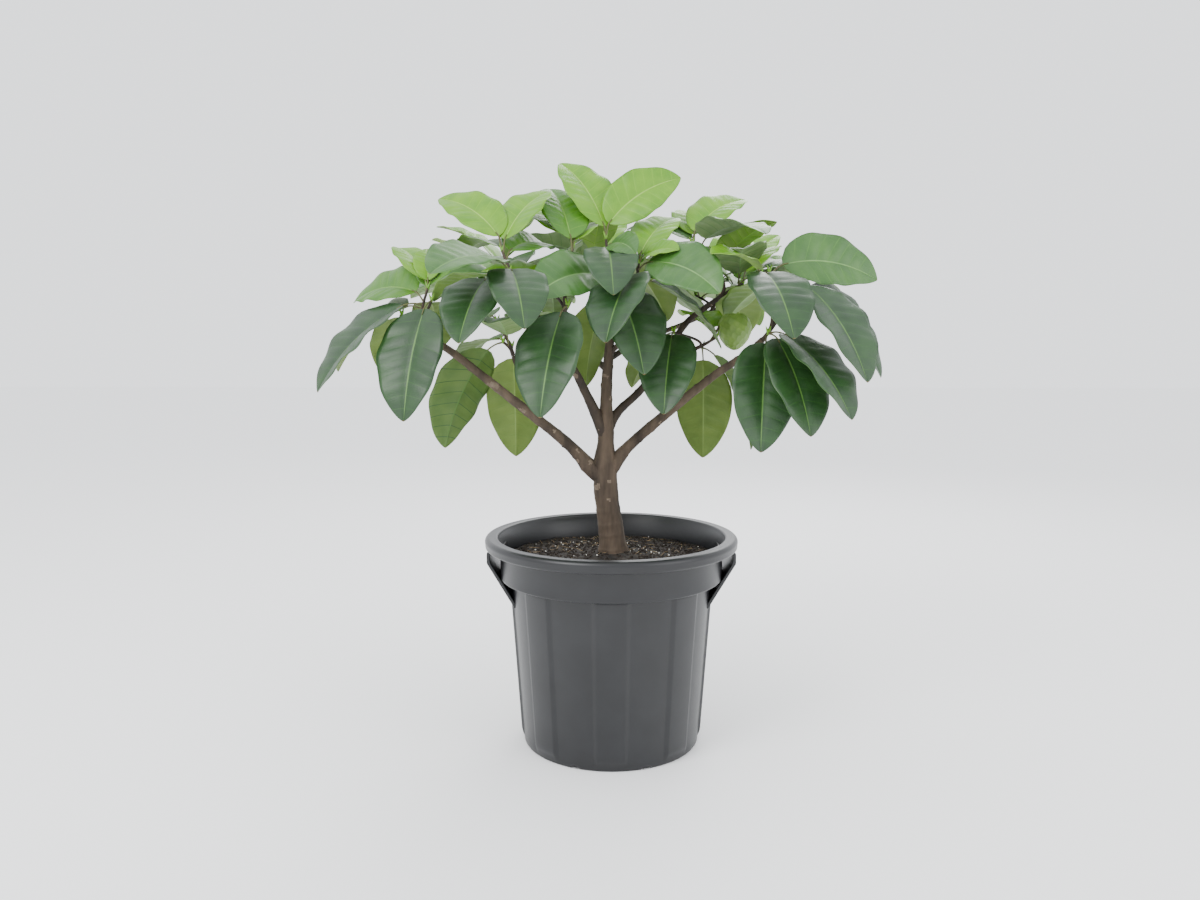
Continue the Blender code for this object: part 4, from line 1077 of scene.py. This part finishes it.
def add_leaf(work, item, draw):
    """A quilted blade with its underside, its veins and its drawn-out tip."""
    tone = TONE_ORDER.index(leaf_tone(item))
    tones = len(TONE_ORDER)
    top_slot, under_slot, vein_slot, midrib_slot = (part * tones + tone for part in range(4))
    tip_slot = 4 * tones
    rows = leaf_rows()
    columns = VEIN_COLUMNS
    wave_start = draw.uniform(0.0, tau)
    made = bmesh.ops.create_grid(
        work, x_segments=len(columns) - 1, y_segments=len(rows) - 1, size=1.0)
    upper = made["verts"]
    faces = list({face for vert in upper for face in vert.link_faces})
    ups = {}
    cells = {}
    for vert in upper:
        column = round((vert.co.x + 1.0) / 2.0 * (len(columns) - 1))
        row = round((vert.co.y + 1.0) / 2.0 * (len(rows) - 1))
        cells[vert] = (column, row)
    for face in faces:
        column = min(cells[vert][0] for vert in face.verts)
        row = min(cells[vert][1] for vert in face.verts)
        if row >= len(rows) - len(TIP_ROWS):
            face.material_index = tip_slot
        elif columns[column] == -MIDRIB_EDGE:
            face.material_index = midrib_slot
        elif row % len(VEIN_ROWS) == 0 and 0 < row < len(rows) - 3:
            face.material_index = vein_slot
        else:
            face.material_index = top_slot
    for vert in upper:
        column, row = cells[vert]
        vert.co, ups[vert] = leaf_point(item.blade, rows[row], columns[column], wave_start)
    copy = bmesh.ops.duplicate(work, geom=upper + faces)
    lower = copy["vert_map"]
    for vert in upper:
        lower[vert].co = vert.co - ups[vert] * BLADE_THICK
        column, row = cells[vert]
        if abs(columns[column]) == MIDRIB_EDGE:
            lower[vert].co -= ups[vert] * MIDRIB_KEEL * (1.0 - rows[row])
        elif row % len(VEIN_ROWS) in (0, 1) and 0.05 < rows[row] < 0.95:
            lower[vert].co -= ups[vert] * VEIN_KEEL * (1.0 - abs(columns[column]))
    under = [face for face in copy["geom"] if isinstance(face, bmesh.types.BMFace)]
    for face in under:
        if face.material_index == top_slot:
            face.material_index = under_slot
    bmesh.ops.reverse_faces(work, faces=under)
    rim = [edge for face in faces + under for edge in face.edges if edge.is_boundary]
    bridged = bmesh.ops.bridge_loops(work, edges=list(set(rim)))
    for face in bridged["faces"]:
        face.material_index = midrib_slot


# %% [markdown]
# The leaves are joined into four pieces by where they grow, so none is too heavy.
# Each piece holds the finishes of every tone, and a leaf's faces point to those of its own.

# %% Leaves, one part of the crown at a time
LEAF_MERGE = 0.000002
LEAF_GROUPS = (
    ("foliage_centre", ("leaves_top", "leaves_middle", "leaves_left_crest")),
    ("foliage_left", ("leaves_left_high", "leaves_left", "leaves_left_inner")),
    ("foliage_right", ("leaves_right_high", "leaves_right_inner", "leaves_right")),
    ("foliage_back", ("leaves_back", "leaves_back_left", "leaves_back_right")),
)
leaf_materials = [*LEAF_TONES.values(), *UNDER_TONES.values(), *VEIN_TONES.values()]
leaf_materials += [*MIDRIB_TONES.values(), TIP_BROWN]
draw = random.Random(41)
for name, members in LEAF_GROUPS:
    work = bmesh.new()
    for item in grown:
        if item.mass in members:
            add_leaf(work, item, draw)
    work.normal_update()
    bmesh.ops.remove_doubles(work, verts=work.verts, dist=LEAF_MERGE)
    bmesh.ops.dissolve_degenerate(work, dist=LEAF_MERGE, edges=work.edges)
    finish_piece(name, work, leaf_materials, members, outward=False)

# %% [markdown]
# Twigs are brown and a little knobbly. Each leaf hangs on a thin round green stalk that leaves
# the twig steeply and runs on into the midrib. Both are rings extruded along their route.

# %% Twigs
TWIG_SIDES = 10
TWIG_CURVE = 6
TWIG_ROUGHNESS = 0.1  # of the radius
KNOB_SHARE = 0.14  # of the radius
KNOB_TURN = 2.1  # how far the knobs' wave runs on from ring to ring

work = bmesh.new()
for route in twig_routes:
    fine = smooth_route(route, TWIG_CURVE)
    for index, ring in enumerate(sweep(work, fine, TWIG_SIDES)):
        centre = fine[index][0]
        knob = KNOB_SHARE * max(0.0, sin(index * KNOB_TURN))**6
        for vert in ring:
            bump = TWIG_ROUGHNESS * noise.noise(vert.co * 300.0) + knob
            vert.co = centre + (vert.co - centre) * (1.0 + bump)
finish_piece("twigs", work, [young_bark_finish])

# %% Leaf stalks
STALK_SIDES = 7
STALK_FOOT = 0.0023  # radii at the twig, along the stalk and in the midrib
PETIOLE_RADIUS = 0.0017
STALK_END = 0.0011
STALK_INTO = 0.06  # how far into the blade it runs
STALK_ARCH = 0.08  # how far it bows up, for its length

work = bmesh.new()
for item in grown:
    start = item.blade.foot
    base = item.blade.place(0.0)
    inward = item.blade.place(STALK_INTO)
    bend = start + (base - start) * 0.5 + Vector((0.0, 0.0, STALK_ARCH * (base - start).length))
    path = ((start, STALK_FOOT), (bend, PETIOLE_RADIUS), (base, PETIOLE_RADIUS), (inward, STALK_END))
    sweep(work, smooth_route(path, 4), STALK_SIDES)
finish_piece("leaf_stalks", work, [twig_finish])

# %% [markdown]
# At each twig's end a bud opens: a pair of tiny folded leaves, paler than the rest.
# Each is a short sweep that swells and comes to a point, and the two lean apart.

# %% Buds at the twig ends
BUD_SIDES = 8
BUD_LEAN = 0.35
BUD_ROWS = ((-0.003, 0.0024), (0.004, 0.0028), (0.011, 0.0016), (0.016, 0.0003))  # height, radius

work = bmesh.new()
for number, route in enumerate(twig_routes):
    end = route[-1][0]
    for side in (-1, 1):
        lean = Vector((BUD_LEAN * side, 0.2 * cos(number * 2.0), 1.0)).normalized()
        path = [(end + lean * height, radius) for height, radius in BUD_ROWS]
        sweep(work, smooth_route(path, 3), BUD_SIDES)
finish_piece("buds", work, [LEAF_TONES["young"]])

# %% [markdown]
# One green fruit hangs at the right. It is a blunt heart, covered with shallow scale-like fields.
# A sphere is shaped by the solid's rule. Many evenly spread points are the middles of the fields,
# and a place is pressed in unless its two nearest middles are about as far, which leaves ridges.

# %% The fruit
FRUIT_PLACE = (0.266, 0.068, 0.884)
FRUIT_RADIUS = 0.037
FRUIT_TALL = 1.14
FRUIT_SHOULDER = 0.16  # how much wider it gets upwards
FRUIT_ENDS = 0.1  # how much narrower both ends are
FRUIT_FIELDS = 110
FIELD_DEPTH = 0.0016
RIDGE_WIDTH = 0.1
HOLLOW_DEPTH = 0.006  # round the stalk
HOLLOW_REACH = 0.06

middles = KDTree(FRUIT_FIELDS)
for index in range(FRUIT_FIELDS):
    height = 1.0 - 2.0 * (index + 0.5) / FRUIT_FIELDS
    angle = radians(GOLDEN_ANGLE) * index
    level = sqrt(1.0 - height * height)
    middles.insert((level * cos(angle), level * sin(angle), height), index)
middles.balance()

work = bmesh.new()
bmesh.ops.create_uvsphere(work, u_segments=96, v_segments=64, radius=1.0)
for vert in work.verts:
    (_, _, nearest), (_, _, second) = middles.find_n(vert.co, 2)
    pressed = ease((second - nearest) / RIDGE_WIDTH)
    height = vert.co.z
    swell = 1.0 + FRUIT_SHOULDER * height - FRUIT_ENDS * height**2
    radius = FRUIT_RADIUS - FIELD_DEPTH * pressed
    hollow = HOLLOW_DEPTH * exp(-((1.0 - height) / HOLLOW_REACH))
    vert.co = Vector((
        vert.co.x * swell * radius, vert.co.y * swell * radius,
        height * FRUIT_TALL * radius - hollow)) + Vector(FRUIT_PLACE)
finish_piece("fruit", work, [fruit_finish])

# %% The fruit's stalk
FRUIT_STALK_RADII = (0.003, 0.0028, 0.0034)
FRUIT_STALK_SIDES = 10

work = bmesh.new()
start = first_twig["leaves_right_inner"][-2][0]
end = Vector(FRUIT_PLACE) + Vector((0.0, 0.0, FRUIT_RADIUS * 0.9))
middle = (start + end) / 2 + Vector((0.0, 0.0, 0.012))
path = tuple(zip((start, middle, end), FRUIT_STALK_RADII))
sweep(work, smooth_route(path, 5), FRUIT_STALK_SIDES)
finish_piece("fruit_stalk", work, [twig_finish])
